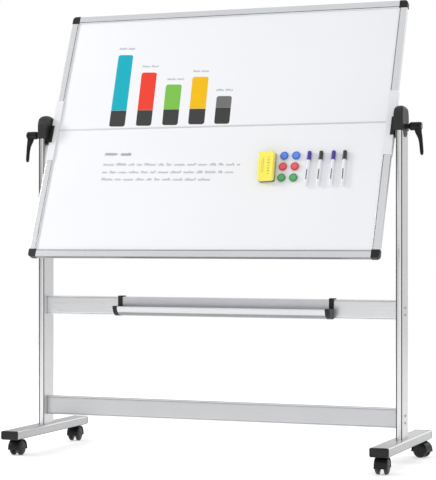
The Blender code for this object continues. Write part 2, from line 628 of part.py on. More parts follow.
for place_name, angle in CASTER_TURN.items():
    sx = 1 if place_name.endswith("right") else -1
    sy = -1 if place_name.startswith("front") else 1
    root = empty(place_name + "_swivel", (sx * POST_MID, sy * STEM_Y, 0), (0, 0, math.radians(angle)))
    hood = prism(place_name + "_caster_hood", [hood_outline()], 2 * HOOD_HALF, "Y", BLACK)
    bevel(hood, 0.0010, 1, 60)
    place(hood, parent=root)
    axle = cylinder(place_name + "_axle", 0.0030, 2 * 0.0190, (TRAIL, 0, WHEEL_R), "Y", 12)
    for k, sg in (("a", 1), ("b", -1)):
        # the pocket's inner side is a cone, so the web is thick at the crown
        # and thin at the axle
        pts = [(0.0, 0.030), (POCKET_R, 0.030), (POCKET_R, 0.0084), (0.0065, HUB_GAP), (0.0, HUB_GAP)]
        pk = turned(f"{place_name}_pocket_{k}", pts, 32)
        place(pk, (TRAIL, 0, WHEEL_R), (math.radians(-90 * sg), 0, 0), root)
        boolean(hood, pk)
    place(axle, parent=root)
    boolean(hood, axle, "UNION")
    under = FOOT_TOP - FOOT_H
    boss = cylinder(place_name + "_boss", 0.0100, 0.0048, (0, 0, under - GAP - 0.0024), "Z", 20)
    stem = cylinder(place_name + "_stem", 0.0050, 0.0270, (0, 0, under - 0.004 + 0.0135), "Z", 16)
    for t in (boss, stem):
        place(t, parent=root)
    # the boss stands on the hood's crown, above the wheels
    boolean(hood, boss, "UNION")
    boolean(hood, stem, "UNION")
    for k, sg in (("outer", 1), ("inner", -1)):
        R, b = WHEEL_R, 0.0030 + GAP
        prof = [(0.0, 0.0222), (0.0090, 0.0220), (0.0150, 0.0213), (0.0195, 0.0202), (0.0228, 0.0184), (0.0244, 0.0168),
                (R, 0.0150), (R, 0.0102), (0.0243, 0.0091), (0.0065, 0.0037), (b, 0.0037), (b, 0.0194), (0.0, 0.0194)]
        wh = turned(f"{place_name}_wheel_{k}", prof, 28, TYRE)
        place(wh, (TRAIL, 0, WHEEL_R), (math.radians(-90 * sg), 0, 0), root)

bpy.context.view_layer.update()
for ob in PARTS.objects:
    if ob.type == "MESH":
        smooth(ob)
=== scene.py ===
import json
import math
import random

import bmesh
import bpy
from mathutils import Matrix, Vector
from mathutils.geometry import tessellate_polygon

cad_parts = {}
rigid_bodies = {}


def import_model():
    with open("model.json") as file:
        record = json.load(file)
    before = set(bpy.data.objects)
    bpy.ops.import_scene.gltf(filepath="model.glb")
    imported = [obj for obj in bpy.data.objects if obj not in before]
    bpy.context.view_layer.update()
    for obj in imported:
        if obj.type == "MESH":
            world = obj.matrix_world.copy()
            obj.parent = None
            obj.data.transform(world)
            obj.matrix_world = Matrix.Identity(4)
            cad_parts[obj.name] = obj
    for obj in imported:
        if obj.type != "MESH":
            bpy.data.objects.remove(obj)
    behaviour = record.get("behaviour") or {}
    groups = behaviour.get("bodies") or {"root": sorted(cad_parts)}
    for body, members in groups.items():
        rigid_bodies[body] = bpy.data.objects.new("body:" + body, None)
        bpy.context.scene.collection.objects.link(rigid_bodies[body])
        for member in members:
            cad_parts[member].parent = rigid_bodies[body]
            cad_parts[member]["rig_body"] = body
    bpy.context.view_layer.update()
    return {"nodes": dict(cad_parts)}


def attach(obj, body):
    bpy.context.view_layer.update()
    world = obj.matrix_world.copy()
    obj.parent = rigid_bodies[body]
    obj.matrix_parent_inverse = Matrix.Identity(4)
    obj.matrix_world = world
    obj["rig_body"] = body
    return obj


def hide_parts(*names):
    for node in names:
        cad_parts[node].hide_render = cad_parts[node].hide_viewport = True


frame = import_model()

NODES = frame["nodes"]
scene = bpy.context.scene
scene.view_settings.view_transform = "Standard"
scene.view_settings.look = "None"

# ------------------------------------------------------------------ dimensions
GAP = 0.0003
PIVOT_Z = 1.063
TILT = math.radians(-22.6)
BOARD_W, BOARD_H, BOARD_OFF = 1.200, 0.900, 0.002
RAIL_FACE, RAIL_T, RAIL_WALL, GROOVE_D = 0.0262, 0.018, 0.0016, 0.010
PANEL_T = 0.0095
SEAM = 0.015
CAP, CAP_PROUD = 0.0275, 0.0008
POST_X, POST_W, POST_D, POST_UP = 0.634, 0.022, 0.070, 0.034
POST_MID = POST_X - POST_W / 2
FOOT_W, FOOT_H, FOOT_TOP, FOOT_HALF, FOOT_CAP = 0.060, 0.028, 0.0835, 0.2655, 0.006
BAR_H, BAR_D, UPPER_BAR_Z, LOWER_BAR_Z = 0.0615, 0.025, 0.487, 0.1478
STEM_Y, WHEEL_R, TRAIL = 0.2165, 0.025, 0.010
CASTER_TURN = {"front_left": 88.0, "rear_left": 93.0, "front_right": -88.0, "rear_right": -14.0}
TRAY_X0, TRAY_X1, TRAY_CAP_L, TRAY_T, TRAY_R = -0.347, 0.404, 0.0155, 0.0015, 0.030
TRAY_FLOOR = 0.4570
HUB_R, NECK_R, HUB_X0, HUB_X1 = 0.0133, 0.008, 0.6480, 0.6872
LOOSE = {"left": 0.0065, "right": 0.0}
BOLT_R = 0.005
MAGNET_R, MAGNET_T = 0.0135, 0.008
MAGNET_X, MAGNET_Z = (0.249, 0.289), (-0.098, -0.136, -0.175)
MARKER_X, MARKER_TOP, MARKER_LEN = (0.334, 0.373, 0.414, 0.451), -0.086, 0.120
MARKER_R, MARKER_CAP_R, MARKER_CAP_L = 0.0058, 0.0070, 0.031
ERASER_X, ERASER_Z, ERASER_W, ERASER_L = 0.198, -0.139, 0.053, 0.100
ERASER_BODY_T, ERASER_FELT_T, ERASER_TURN = 0.018, 0.008, 3.5

HW = BOARD_W / 2
TOP, BOT = BOARD_OFF + BOARD_H / 2, BOARD_OFF - BOARD_H / 2
RX, RT, RB = HW - CAP_PROUD, TOP - CAP_PROUD, BOT + CAP_PROUD
FRONT = -PANEL_T / 2                      # writing face, in the board's frame

BOARD = Matrix.Translation((0, 0, PIVOT_Z)) @ Matrix.Rotation(TILT, 4, "X")
ONE = Matrix.Identity(4)


def turn(axis, deg):
    return Matrix.Rotation(math.radians(deg), 4, axis)


def move(x, y, z):
    return Matrix.Translation((x, y, z))


# ------------------------------------------------------------------ camera, floor, light
cam = bpy.data.cameras.new("camera")
cam_ob = bpy.data.objects.new("camera", cam)
scene.collection.objects.link(cam_ob)
scene.camera = cam_ob
cam.sensor_fit = "AUTO"
cam.sensor_width = 36.0
cam.lens = 1699.3 * 36.0 / 480.0
cam.shift_x = (218.0 - 218.05) / 480.0
cam.shift_y = (239.59 - 240.0) / 480.0
cam.clip_start, cam.clip_end = 0.05, 200.0
cam_ob.location = (2.0135, -5.1799, 0.70818)
cam_ob.rotation_euler = (math.radians(90), 0, math.radians(21.2))


def area(name, loc, target, size, energy, colour=(1, 1, 1)):
    li = bpy.data.lights.new(name, "AREA")
    li.shape = "DISK"
    li.size = size
    li.energy = energy
    li.color = colour
    ob = bpy.data.objects.new(name, li)
    scene.collection.objects.link(ob)
    ob.location = loc
    ob.rotation_euler = (Vector(target) - Vector(loc)).to_track_quat("-Z", "Y").to_euler()
    return ob


area("key_light", (-3.9, -1.5, 2.9), (0.0, 0.0, 0.8), 1.3, 84.0)
area("back_light", (2.2, 3.0, 3.0), (0.0, 0.0, 0.8), 2.4, 18.0)

world = bpy.data.worlds.new("studio")
scene.world = world
world.use_nodes = True
wn, wl = world.node_tree.nodes, world.node_tree.links
bg = wn["Background"]
tc = wn.new("ShaderNodeTexCoord")
sep = wn.new("ShaderNodeSeparateXYZ")
wl.new(tc.outputs["Generated"], sep.inputs[0])
side = wn.new("ShaderNodeMapRange")
side.interpolation_type = "SMOOTHSTEP"
side.inputs["From Min"].default_value = -0.85
side.inputs["From Max"].default_value = 0.05
side.inputs["To Min"].default_value = 0.20
side.inputs["To Max"].default_value = 1.0
wl.new(sep.outputs["X"], side.inputs["Value"])
up = wn.new("ShaderNodeMapRange")
up.interpolation_type = "SMOOTHSTEP"
up.inputs["From Min"].default_value = 0.15
up.inputs["From Max"].default_value = 0.75
wl.new(sep.outputs["Z"], up.inputs["Value"])
mixv = wn.new("ShaderNodeMix")
mixv.data_type = "FLOAT"
wl.new(up.outputs[0], mixv.inputs[0])
wl.new(side.outputs[0], mixv.inputs[2])
mixv.inputs[3].default_value = 0.92
amb = wn.new("ShaderNodeMath")
amb.operation = "MULTIPLY"
amb.inputs[1].default_value = 0.90
wl.new(mixv.outputs[0], amb.inputs[0])
path = wn.new("ShaderNodeLightPath")
pick = wn.new("ShaderNodeMix")
pick.data_type = "FLOAT"
wl.new(path.outputs["Is Camera Ray"], pick.inputs[0])
wl.new(amb.outputs[0], pick.inputs[2])
pick.inputs[3].default_value = 1.0
wl.new(pick.outputs[0], bg.inputs["Strength"])
bg.inputs["Color"].default_value = (1.0, 1.0, 1.0, 1.0)


# ------------------------------------------------------------------ materials
def lin(r, g, b):
    def f(c):
        c /= 255.0
        return c / 12.92 if c <= 0.04045 else ((c + 0.055) / 1.055) ** 2.4
    return (f(r), f(g), f(b))


def shade(c, k):
    return tuple(min(max(v * k, 0.0), 1.0) for v in c)


class Graph:
    """A Principled material with a few helpers for its node graph."""

    def __init__(self, name, rough, metal=0.0, **fixed):
        self.m = bpy.data.materials.new(name)
        self.m.use_nodes = True
        self.t = self.m.node_tree
        self.b = self.t.nodes["Principled BSDF"]
        self.b.inputs["Roughness"].default_value = rough
        self.b.inputs["Metallic"].default_value = metal
        for k, v in fixed.items():
            self.b.inputs[k.replace("_", " ")].default_value = v
        self.tc = self.t.nodes.new("ShaderNodeTexCoord")
        self.bumps = None

    def node(self, kind, **props):
        n = self.t.nodes.new(kind)
        for k, v in props.items():
            setattr(n, k, v)
        return n

    def link(self, a, b):
        self.t.links.new(a, b)

    def coords(self, size, tilt=0.0, shift=(0, 0, 0)):
        mp = self.node("ShaderNodeMapping", vector_type="TEXTURE")
        self.link(self.tc.outputs["Object"], mp.inputs["Vector"])
        mp.inputs["Location"].default_value = shift
        mp.inputs["Rotation"].default_value = (tilt, 0, 0)
        mp.inputs["Scale"].default_value = size if isinstance(size, tuple) else (size,) * 3
        return mp.outputs[0]

    def noise(self, size, detail=3.0, rough=0.55, tilt=0.0, distort=0.0, shift=(0, 0, 0)):
        n = self.node("ShaderNodeTexNoise")
        self.link(self.coords(size, tilt, shift), n.inputs["Vector"])
        n.inputs["Scale"].default_value = 1.0
        n.inputs["Detail"].default_value = detail
        n.inputs["Roughness"].default_value = rough
        n.inputs["Distortion"].default_value = distort
        return n.outputs[0]

    def cells(self, size, tilt=0.0, feature="F1"):
        n = self.node("ShaderNodeTexVoronoi", feature=feature)
        self.link(self.coords(size, tilt), n.inputs["Vector"])
        n.inputs["Scale"].default_value = 1.0
        return n.outputs["Distance"]

    def ranged(self, value, a, b, lo=0.3, hi=0.7, smooth=False):
        n = self.node("ShaderNodeMapRange", interpolation_type="SMOOTHSTEP" if smooth else "LINEAR")
        self.link(value, n.inputs["Value"])
        n.inputs["From Min"].default_value = lo
        n.inputs["From Max"].default_value = hi
        n.inputs["To Min"].default_value = a
        n.inputs["To Max"].default_value = b
        return n.outputs[0]

    def mix(self, fac, a, b, blend="MIX"):
        n = self.node("ShaderNodeMix", data_type="RGBA", blend_type=blend)
        if isinstance(fac, float):
            n.inputs[0].default_value = fac
        else:
            self.link(fac, n.inputs[0])
        for i, v in ((6, a), (7, b)):
            if isinstance(v, tuple):
                n.inputs[i].default_value = (*v, 1.0)
            else:
                self.link(v, n.inputs[i])
        return n.outputs[2]

    def math(self, op, a, b):
        n = self.node("ShaderNodeMath", operation=op)
        for i, v in enumerate((a, b)):
            if isinstance(v, (int, float)):
                n.inputs[i].default_value = v
            else:
                self.link(v, n.inputs[i])
        return n.outputs[0]

    def colour(self, out):
        self.link(out, self.b.inputs["Base Color"])

    def rough(self, out):
        self.link(out, self.b.inputs["Roughness"])

    def bump(self, height, distance, strength=1.0):
        n = self.node("ShaderNodeBump")
        n.inputs["Strength"].default_value = strength
        n.inputs["Distance"].default_value = distance
        self.link(height, n.inputs["Height"])
        if self.bumps is not None:
            self.link(self.bumps, n.inputs["Normal"])
        self.bumps = n.outputs[0]
        self.link(self.bumps, self.b.inputs["Normal"])


def brushed(name, colour, rough, along="X", tilt=0.0, vary=0.06, blotch=0.05, metal=1.0, depth=0.00003):
    """Extruded, anodised aluminium: fine drawing lines along the extrusion,
    slow changes of tone, and a few handling scuffs."""
    g = Graph(name, rough, metal)
    k = "XYZ".index(along)
    fine = [0.0007] * 3
    fine[k] = 0.22
    wide = [0.0040] * 3
    wide[k] = 0.60
    lines = g.noise(tuple(fine), 4.0, 0.65, tilt)
    bands = g.noise(tuple(wide), 2.0, 0.5, tilt, shift=(0.13, 0.07, 0.21))
    slow = g.noise(0.16, 2.0, 0.5, tilt)
    scuff = g.noise(0.012, 5.0, 0.7, tilt, 0.6)
    c = g.mix(g.ranged(lines, 0.0, 1.0), shade(colour, 1 - vary), shade(colour, 1 + vary))
    c = g.mix(g.ranged(bands, 0.0, 0.55), c, shade(colour, 1 - blotch))
    c = g.mix(g.ranged(slow, 0.0, 0.6), c, shade(colour, 1 + blotch))
    c = g.mix(g.ranged(scuff, 0.0, 0.35, 0.62, 0.78), c, shade(colour, 0.86))
    g.colour(c)
    r = g.math("ADD", g.ranged(lines, rough - 0.06, rough + 0.06), g.ranged(scuff, 0.0, 0.10, 0.60, 0.80))
    g.rough(r)
    g.bump(lines, depth, 0.6)
    g.bump(slow, 0.0004, 0.12)
    return g.m


def moulded(name, colour, rough, grain=0.0008, depth=0.00006, vary=0.16, scuff_sheen=0.10, **fixed):
    """Moulded plastic with a spark-eroded grain, and lighter patches where it is handled: scuff wear with a painted
    sheen in the colour.
    """
    g = Graph(name, rough, 0.0, **fixed)
    pits = g.cells(grain)
    soft = g.noise(grain * 2.4, 3.0, 0.6)
    slow = g.noise(0.05, 3.0, 0.55)
    scuff = g.noise((0.004, 0.010, 0.004), 5.0, 0.72, 0.0, 1.2)
    c = g.mix(g.ranged(slow, 0.0, 1.0), shade(colour, 1 - vary), shade(colour, 1 + vary))
    # handled patches painted lighter: scuff wear and painted sheen
    c = g.mix(g.ranged(scuff, 0.0, scuff_sheen, 0.60, 0.75), c, tuple(min(v + 0.10, 1.0) for v in colour))
    g.colour(c)
    g.rough(g.math("ADD", g.ranged(slow, rough + 0.05, rough - 0.05), g.ranged(soft, -0.03, 0.05)))
    g.bump(pits, depth, 0.8)
    g.bump(soft, depth * 1.5, 0.5)
    return g.m


def glossy(name, colour, rough=0.22, coat=0.35, vary=0.08, grain=0.006):
    """Smooth moulded plastic with a polished skin."""
    g = Graph(name, rough, 0.0, Coat_Weight=coat, Coat_Roughness=0.08)
    slow = g.noise(0.012, 2.0, 0.5)
    flow = g.noise((0.002, 0.002, 0.020), 3.0, 0.6, 0.0, 0.8)
    fine = g.noise(0.0005, 2.0, 0.5)
    c = g.mix(g.ranged(slow, 0.0, 1.0), shade(colour, 1 - vary), shade(colour, 1 + vary))
    c = g.mix(g.ranged(flow, 0.0, 0.25, 0.55, 0.75), c, shade(colour, 0.82))
    g.colour(c)
    g.rough(g.ranged(fine, rough - 0.04, rough + 0.08))
    g.bump(slow, grain * 0.02, 0.35)
    g.bump(fine, 0.00001, 0.4)
    return g.m


def enamel(name, colour, tilt):
    """Lacquered steel writing face: nearly mirror-flat, with faint orange peel
    and the slight haze that wiping leaves."""
    g = Graph(name, 0.30, 0.0, Coat_Weight=0.15, Coat_Roughness=0.16)
    slow = g.noise(0.35, 2.0, 0.5, tilt)
    wipe = g.noise((0.09, 0.09, 0.018), 4.0, 0.6, tilt, 0.9)
    haze = g.noise((0.30, 0.30, 0.05), 3.0, 0.6, tilt, 0.5, (0.4, 0.1, 0.2))
    peel = g.noise(0.0022, 2.0, 0.5, tilt)
    c = g.mix(g.ranged(slow, 0.0, 1.0), shade(colour, 0.988), shade(colour, 1.008))
    c = g.mix(g.ranged(haze, 0.0, 0.30, 0.50, 0.75), c, shade(colour, 0.985))
    g.colour(c)
    g.rough(g.math("ADD", g.ranged(wipe, 0.28, 0.33), g.ranged(haze, 0.0, 0.02, 0.5, 0.75)))
    g.bump(peel, 0.00002, 0.5)
    return g.m


def ink(name, colour, vary=0.05):
    """Dry marker ink: a matt film with faint strokes."""
    g = Graph(name, 0.55, Specular_IOR_Level=0.2)
    strokes = g.noise((0.060, 0.060, 0.0022), 3.0, 0.6, 0.0, 0.2)
    patch = g.noise(0.020, 3.0, 0.6)
    c = g.mix(g.ranged(strokes, 0.0, 1.0), shade(colour, 1 - vary), shade(colour, 1 + vary))
    c = g.mix(g.ranged(patch, 0.0, 0.2, 0.55, 0.80), c, shade(colour, 1 + vary))
    g.colour(c)
    g.rough(g.ranged(strokes, 0.48, 0.62))
    g.bump(strokes, 0.00002, 0.4)
    return g.m


def felt_material(name, colour):
    g = Graph(name, 0.95, 0.0, Sheen_Weight=0.5, Sheen_Roughness=0.5)
    fuzz = g.noise((0.0006, 0.0006, 0.0004), 6.0, 0.75, 0.0, 1.5)
    clump = g.noise(0.004, 4.0, 0.65)
    c = g.mix(g.ranged(fuzz, 0.0, 1.0), shade(colour, 0.55), shade(colour, 1.6))
    c = g.mix(g.ranged(clump, 0.0, 0.5), c, shade(colour, 1.35))
    g.colour(c)
    g.rough(g.ranged(clump, 0.88, 1.0))
    g.bump(fuzz, 0.00025, 0.9)
    g.bump(clump, 0.0004, 0.6)
    return g.m


def machined(name, colour, rough, ring=0.0006):
    """Turned steel: fine rings and a little dulling."""
    g = Graph(name, rough, 1.0)
    fine = g.noise(ring, 4.0, 0.65)
    slow = g.noise(0.006, 3.0, 0.55)
    c = g.mix(g.ranged(fine, 0.0, 1.0), shade(colour, 0.90), shade(colour, 1.08))
    c = g.mix(g.ranged(slow, 0.0, 0.5), c, shade(colour, 0.82))
    g.colour(c)
    g.rough(g.ranged(slow, rough - 0.05, rough + 0.10))
    g.bump(fine, 0.00003, 0.6)
    return g.m


ALU_RAIL = (0.76, 0.775, 0.80)
M_RAIL_H = brushed("frame_aluminium_h", ALU_RAIL, 0.25, "X")
M_RAIL_V = brushed("frame_aluminium_v", (0.78, 0.79, 0.81), 0.25, "Z")
# dark copy of the rail aluminium for the bottom rail's outer lower faces: painted shade
M_RAIL_EDGE_SHADE = brushed("frame_aluminium_painted_shade_edge", (0.30, 0.305, 0.32), 0.40, "X")
# dark aluminium in the groove beside the inner bead: painted shade
M_RAIL_GROOVE_SHADE = brushed("frame_shadow_line", (0.22, 0.225, 0.235), 0.5, "X", metal=0.6)
M_STRIP = brushed("joint_strip_aluminium", (0.72, 0.73, 0.75), 0.36, "X", TILT)
M_POST = brushed("post_aluminium", (0.80, 0.80, 0.81), 0.27, "Z")
# darker copy of the post aluminium for the side faces: painted shade
M_POST_SIDE_SHADE = brushed("post_side_painted_shade_aluminium", (0.60, 0.60, 0.61), 0.30, "Z")
# near-black aluminium for the slot interiors: painted shade
M_SLOT_SHADE = brushed("slot_painted_shade_aluminium", (0.13, 0.13, 0.135), 0.50, "Z", metal=0.6)
M_BAR = brushed("bar_aluminium", (0.78, 0.79, 0.80), 0.30, "X")
# darker copy of the bar aluminium for the lower crossbar: painted shade
M_BAR_LOW_SHADE = brushed("bar_aluminium_low_painted_shade", (0.58, 0.585, 0.60), 0.32, "X")
# dark aluminium for the narrow slots near the bar edges: painted shade
M_BAR_SLOT_SHADE = brushed("bar_slot_painted_shade_aluminium", (0.40, 0.40, 0.41), 0.45, "X", metal=0.8)
# near-white copy of the bar aluminium for the band under the top edge: painted highlight
M_BAR_EDGE_HIGHLIGHT = brushed("bar_edge_painted_highlight_aluminium", (0.90, 0.90, 0.91), 0.26, "X")
# darker copy of the foot aluminium for the sides, against the plain-toned top: painted shade
M_FOOT_SIDE_SHADE = brushed("foot_aluminium", (0.43, 0.435, 0.44), 0.32, "Y", vary=0.12)
# near-white copy of the foot aluminium for the upper rounded edges: painted highlight
M_FOOT_EDGE_HIGHLIGHT = brushed("foot_aluminium_painted_highlight_edge", (0.93, 0.93, 0.94), 0.22, "Y")
M_FOOT_TOP = brushed("foot_aluminium_top", (0.80, 0.80, 0.81), 0.30, "Y", vary=0.12)
# near-black copy of the foot aluminium for the lower rounding and underside: painted shade
M_FOOT_LOW_SHADE = brushed("foot_aluminium_low_painted_shade", (0.15, 0.15, 0.155), 0.48, "Y", metal=0.3)
M_TRAY = brushed("tray_aluminium", (0.66, 0.67, 0.69), 0.34, "X")
# darker copy of the tray aluminium for its downward faces: painted shade
M_TRAY_UNDERSIDE_SHADE = brushed("tray_aluminium_underside_shade", (0.34, 0.345, 0.35), 0.42, "X")
M_PANEL = enamel("board_enamel", (0.885, 0.892, 0.918), TILT)
M_SLEEVE = moulded("sleeve_plastic", (0.80, 0.815, 0.84), 0.34, 0.0006, 0.00003, 0.02, 0.05, Coat_Weight=0.15)
M_BLACK = moulded("black_plastic", (0.011, 0.011, 0.012), 0.44, 0.0009, 0.00008, 0.25, 0.10, Specular_IOR_Level=0.36)
M_HEAD = moulded("head_plastic", (0.016, 0.017, 0.018), 0.46, 0.0011, 0.00012, 0.25, 0.12, Specular_IOR_Level=0.38)
M_CAPS = moulded("corner_plastic", (0.010, 0.010, 0.011), 0.38, 0.0007, 0.00005, 0.25, 0.08, Specular_IOR_Level=0.36)
M_LEVER = moulded("lever_plastic", (0.005, 0.005, 0.0055), 0.34, 0.0008, 0.00008, 0.25, 0.08, Specular_IOR_Level=0.26)
M_HOOD = moulded("caster_plastic", (0.008, 0.008, 0.009), 0.36, 0.0007, 0.00006, 0.25, 0.10, Specular_IOR_Level=0.30)
M_WHEEL = moulded("caster_wheel", (0.011, 0.011, 0.012), 0.34, 0.0006, 0.00004, 0.22, 0.14, Specular_IOR_Level=0.30)
M_TREAD = moulded("caster_tread", (0.040, 0.040, 0.043), 0.55, 0.0010, 0.00010, 0.22, 0.25, Specular_IOR_Level=0.35)
M_STEEL = machined("bolt_steel", (0.58, 0.59, 0.60), 0.32)
M_SCREW = machined("screw_steel", (0.42, 0.42, 0.43), 0.34)


# ------------------------------------------------------------------ mesh helpers
def rounded(points, n=5):
    """Closed outline from (a, b, radius) corners; each corner becomes an arc."""
    out = []
    k = len(points)
    for i in range(k):
        p0, p, p1 = Vector(points[i - 1][:2]), Vector(points[i][:2]), Vector(points[(i + 1) % k][:2])
        r = points[i][2] if len(points[i]) > 2 else 0.0
        u, v = (p0 - p), (p1 - p)
        if r <= 0 or u.length < 1e-9 or v.length < 1e-9:
            out.append(tuple(p))
            continue
        lu, lv = u.length, v.length
        u, v = u / lu, v / lv
        ang = math.acos(max(-1.0, min(1.0, u.dot(v))))
        if ang > math.pi - 0.02:
            out.append(tuple(p))
            continue
        d = min(r / math.tan(ang / 2), 0.49 * lu, 0.49 * lv)
        r = d * math.tan(ang / 2)
        c = p + (u + v).normalized() * (r / math.sin(ang / 2))
        a0 = math.atan2(*(p + u * d - c).yx)
        a1 = math.atan2(*(p + v * d - c).yx)
        da = (a1 - a0 + math.pi) % (2 * math.pi) - math.pi
        m = max(1, round(n * abs(da) / (math.pi / 2)))
        out += [(c.x + r * math.cos(a0 + da * j / m), c.y + r * math.sin(a0 + da * j / m)) for j in range(m + 1)]
    return out


def open_rounded(points, n=5):
    """Open profile from (a, b, radius) corners."""
    out = []
    for i, q in enumerate(points):
        r = q[2] if len(q) > 2 else 0.0
        if i in (0, len(points) - 1) or r <= 0:
            out.append(tuple(q[:2]))
        else:
            out += rounded([points[i - 1][:2] + (0,), q, points[i + 1][:2] + (0,)], n)[1:-1]
    return out


def rrect(w, h, r, n=6, cx=0.0, cy=0.0):
    pts = []
    for sx, sy, a0 in ((1, 1, 0), (-1, 1, 90), (-1, -1, 180), (1, -1, 270)):
        for i in range(n + 1):
            a = math.radians(a0 + 90.0 * i / n)
            pts.append((cx + sx * (w / 2 - r) + r * math.cos(a), cy + sy * (h / 2 - r) + r * math.sin(a)))
    return pts


def arc(cx, cy, r, a0, a1, n):
    return [(cx + r * math.cos(math.radians(a0 + (a1 - a0) * i / n)),
             cy + r * math.sin(math.radians(a0 + (a1 - a0) * i / n))) for i in range(n + 1)]


def finish_mesh(bm, name, angle=32.0):
    bmesh.ops.recalc_face_normals(bm, faces=bm.faces)
    me = bpy.data.meshes.new(name)
    bm.to_mesh(me)
    bm.free()
    me.shade_smooth()
    me.set_sharp_from_angle(angle=math.radians(angle))
    return me


def extrude_mesh(name, loops, length, frame_m, mid=0.0, angle=32.0):
    """Closed solid: outlines (the first outside, the rest holes) extruded along
    local Z about mid, then put through frame_m."""
    bm = bmesh.new()
    z0, z1 = mid - length / 2, mid + length / 2
    rings = []
    for pts in loops:
        rings.append(([bm.verts.new(frame_m @ Vector((a, b, z0))) for a, b in pts],
                      [bm.verts.new(frame_m @ Vector((a, b, z1))) for a, b in pts]))
    for lo, hi in rings:
        n = len(lo)
        for i in range(n):
            j = (i + 1) % n
            bm.faces.new((lo[i], lo[j], hi[j], hi[i]))
    if len(loops) == 1:
        bm.faces.new(rings[0][0][::-1])
        bm.faces.new(rings[0][1])
    else:
        flat = [[Vector((a, b, 0)) for a, b in pts] for pts in loops]
        tris = tessellate_polygon(flat)
        for k in (0, 1):
            allv = [v for ring in rings for v in ring[k]]
            for t in tris:
                bm.faces.new([allv[i] for i in t])
    return finish_mesh(bm, name, angle)


# local (a, b, along) to the named axis: a, b are the other two in order
TO_X = Matrix(((0, 0, 1, 0), (1, 0, 0, 0), (0, 1, 0, 0), (0, 0, 0, 1)))      # a = y, b = z
TO_Y = Matrix(((1, 0, 0, 0), (0, 0, 1, 0), (0, 1, 0, 0), (0, 0, 0, 1)))      # a = x, b = z
TO_Z = Matrix.Identity(4)                                                     # a = x, b = y


def lathe_mesh(name, prof, seg=64, angle=32.0, frame_m=ONE):
    """Solid of revolution about local Z from an open profile (r, z) whose ends
    are on the axis."""
    bm = bmesh.new()
    rings = []
    for r, z in prof:
        if r < 1e-7:
            rings.append([bm.verts.new(frame_m @ Vector((0, 0, z)))])
        else:
            rings.append([bm.verts.new(frame_m @ Vector((r * math.cos(2 * math.pi * i / seg), r * math.sin(2 * math.pi * i / seg), z)))
                          for i in range(seg)])
    for a, b in zip(rings, rings[1:]):
        for i in range(seg):
            j = (i + 1) % seg
            if len(a) == 1 and len(b) == 1:
                continue
            if len(a) == 1:
                bm.faces.new((a[0], b[i], b[j]))
            elif len(b) == 1:
                bm.faces.new((a[i], a[j], b[0]))
            else:
                bm.faces.new((a[i], a[j], b[j], b[i]))
    return finish_mesh(bm, name, angle)


def loft_mesh(name, rings, angle=32.0, frame_m=ONE, cap=(True, True)):
    """Closed solid through rings of 3-D points, all with the same count."""
    bm = bmesh.new()
    vs = [[bm.verts.new(frame_m @ Vector(p)) for p in ring] for ring in rings]
    n = len(vs[0])
    for a, b in zip(vs, vs[1:]):
        for i in range(n):
            j = (i + 1) % n
            bm.faces.new((a[i], a[j], b[j], b[i]))
    if cap[0]:
        bm.faces.new(vs[0][::-1])
    if cap[1]:
        bm.faces.new(vs[-1])
    return finish_mesh(bm, name, angle)


def piece(name, mesh, mats, body, matrix=ONE, stands_for=(), weighted=True):
    ob = bpy.data.objects.new(name, mesh)
    scene.collection.objects.link(ob)
    if not isinstance(mats, (list, tuple)):
        mats = [mats]
    if len(mesh.materials) == 0:
        for m in mats:
            mesh.materials.append(m)
    ob.matrix_world = matrix
    if weighted:
        w = ob.modifiers.new("weighted_normals", "WEIGHTED_NORMAL")
        w.keep_sharp = True
        w.weight = 60
    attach(ob, body)
    if stands_for:
        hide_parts(*([stands_for] if isinstance(stands_for, str) else stands_for))
    return ob


def baked(mesh, cutters=(), unions=()):
    """The mesh after exact booleans with other meshes."""
    ob = bpy.data.objects.new("tmp_base", mesh)
    scene.collection.objects.link(ob)
    extra = []
    for op, group in (("UNION", unions), ("DIFFERENCE", cutters)):
        for c in group:
            o = bpy.data.objects.new("tmp_tool", c)
            scene.collection.objects.link(o)
            extra.append(o)
            m = ob.modifiers.new("b", "BOOLEAN")
            m.operation = op
            m.solver = "EXACT"
            m.object = o
    bpy.context.view_layer.update()
    out = bpy.data.meshes.new_from_object(ob.evaluated_get(bpy.context.evaluated_depsgraph_get()))
    out.name = mesh.name
    for o in extra + [ob]:
        d = o.data
        bpy.data.objects.remove(o)
        if d.users == 0:
            bpy.data.meshes.remove(d)
    return out


def resmooth(me, angle=32.0):
    me.shade_smooth()
    me.set_sharp_from_angle(angle=math.radians(angle))
    return me


def rod(r, length, matrix, seg=32):
    """A plain cylinder mesh, for cutting bores."""
    bm = bmesh.new()
    bmesh.ops.create_cone(bm, cap_ends=True, segments=seg, radius1=r, radius2=r, depth=length, matrix=matrix)
    me = bpy.data.meshes.new("bore")
    bm.to_mesh(me)
    bm.free()
    return me


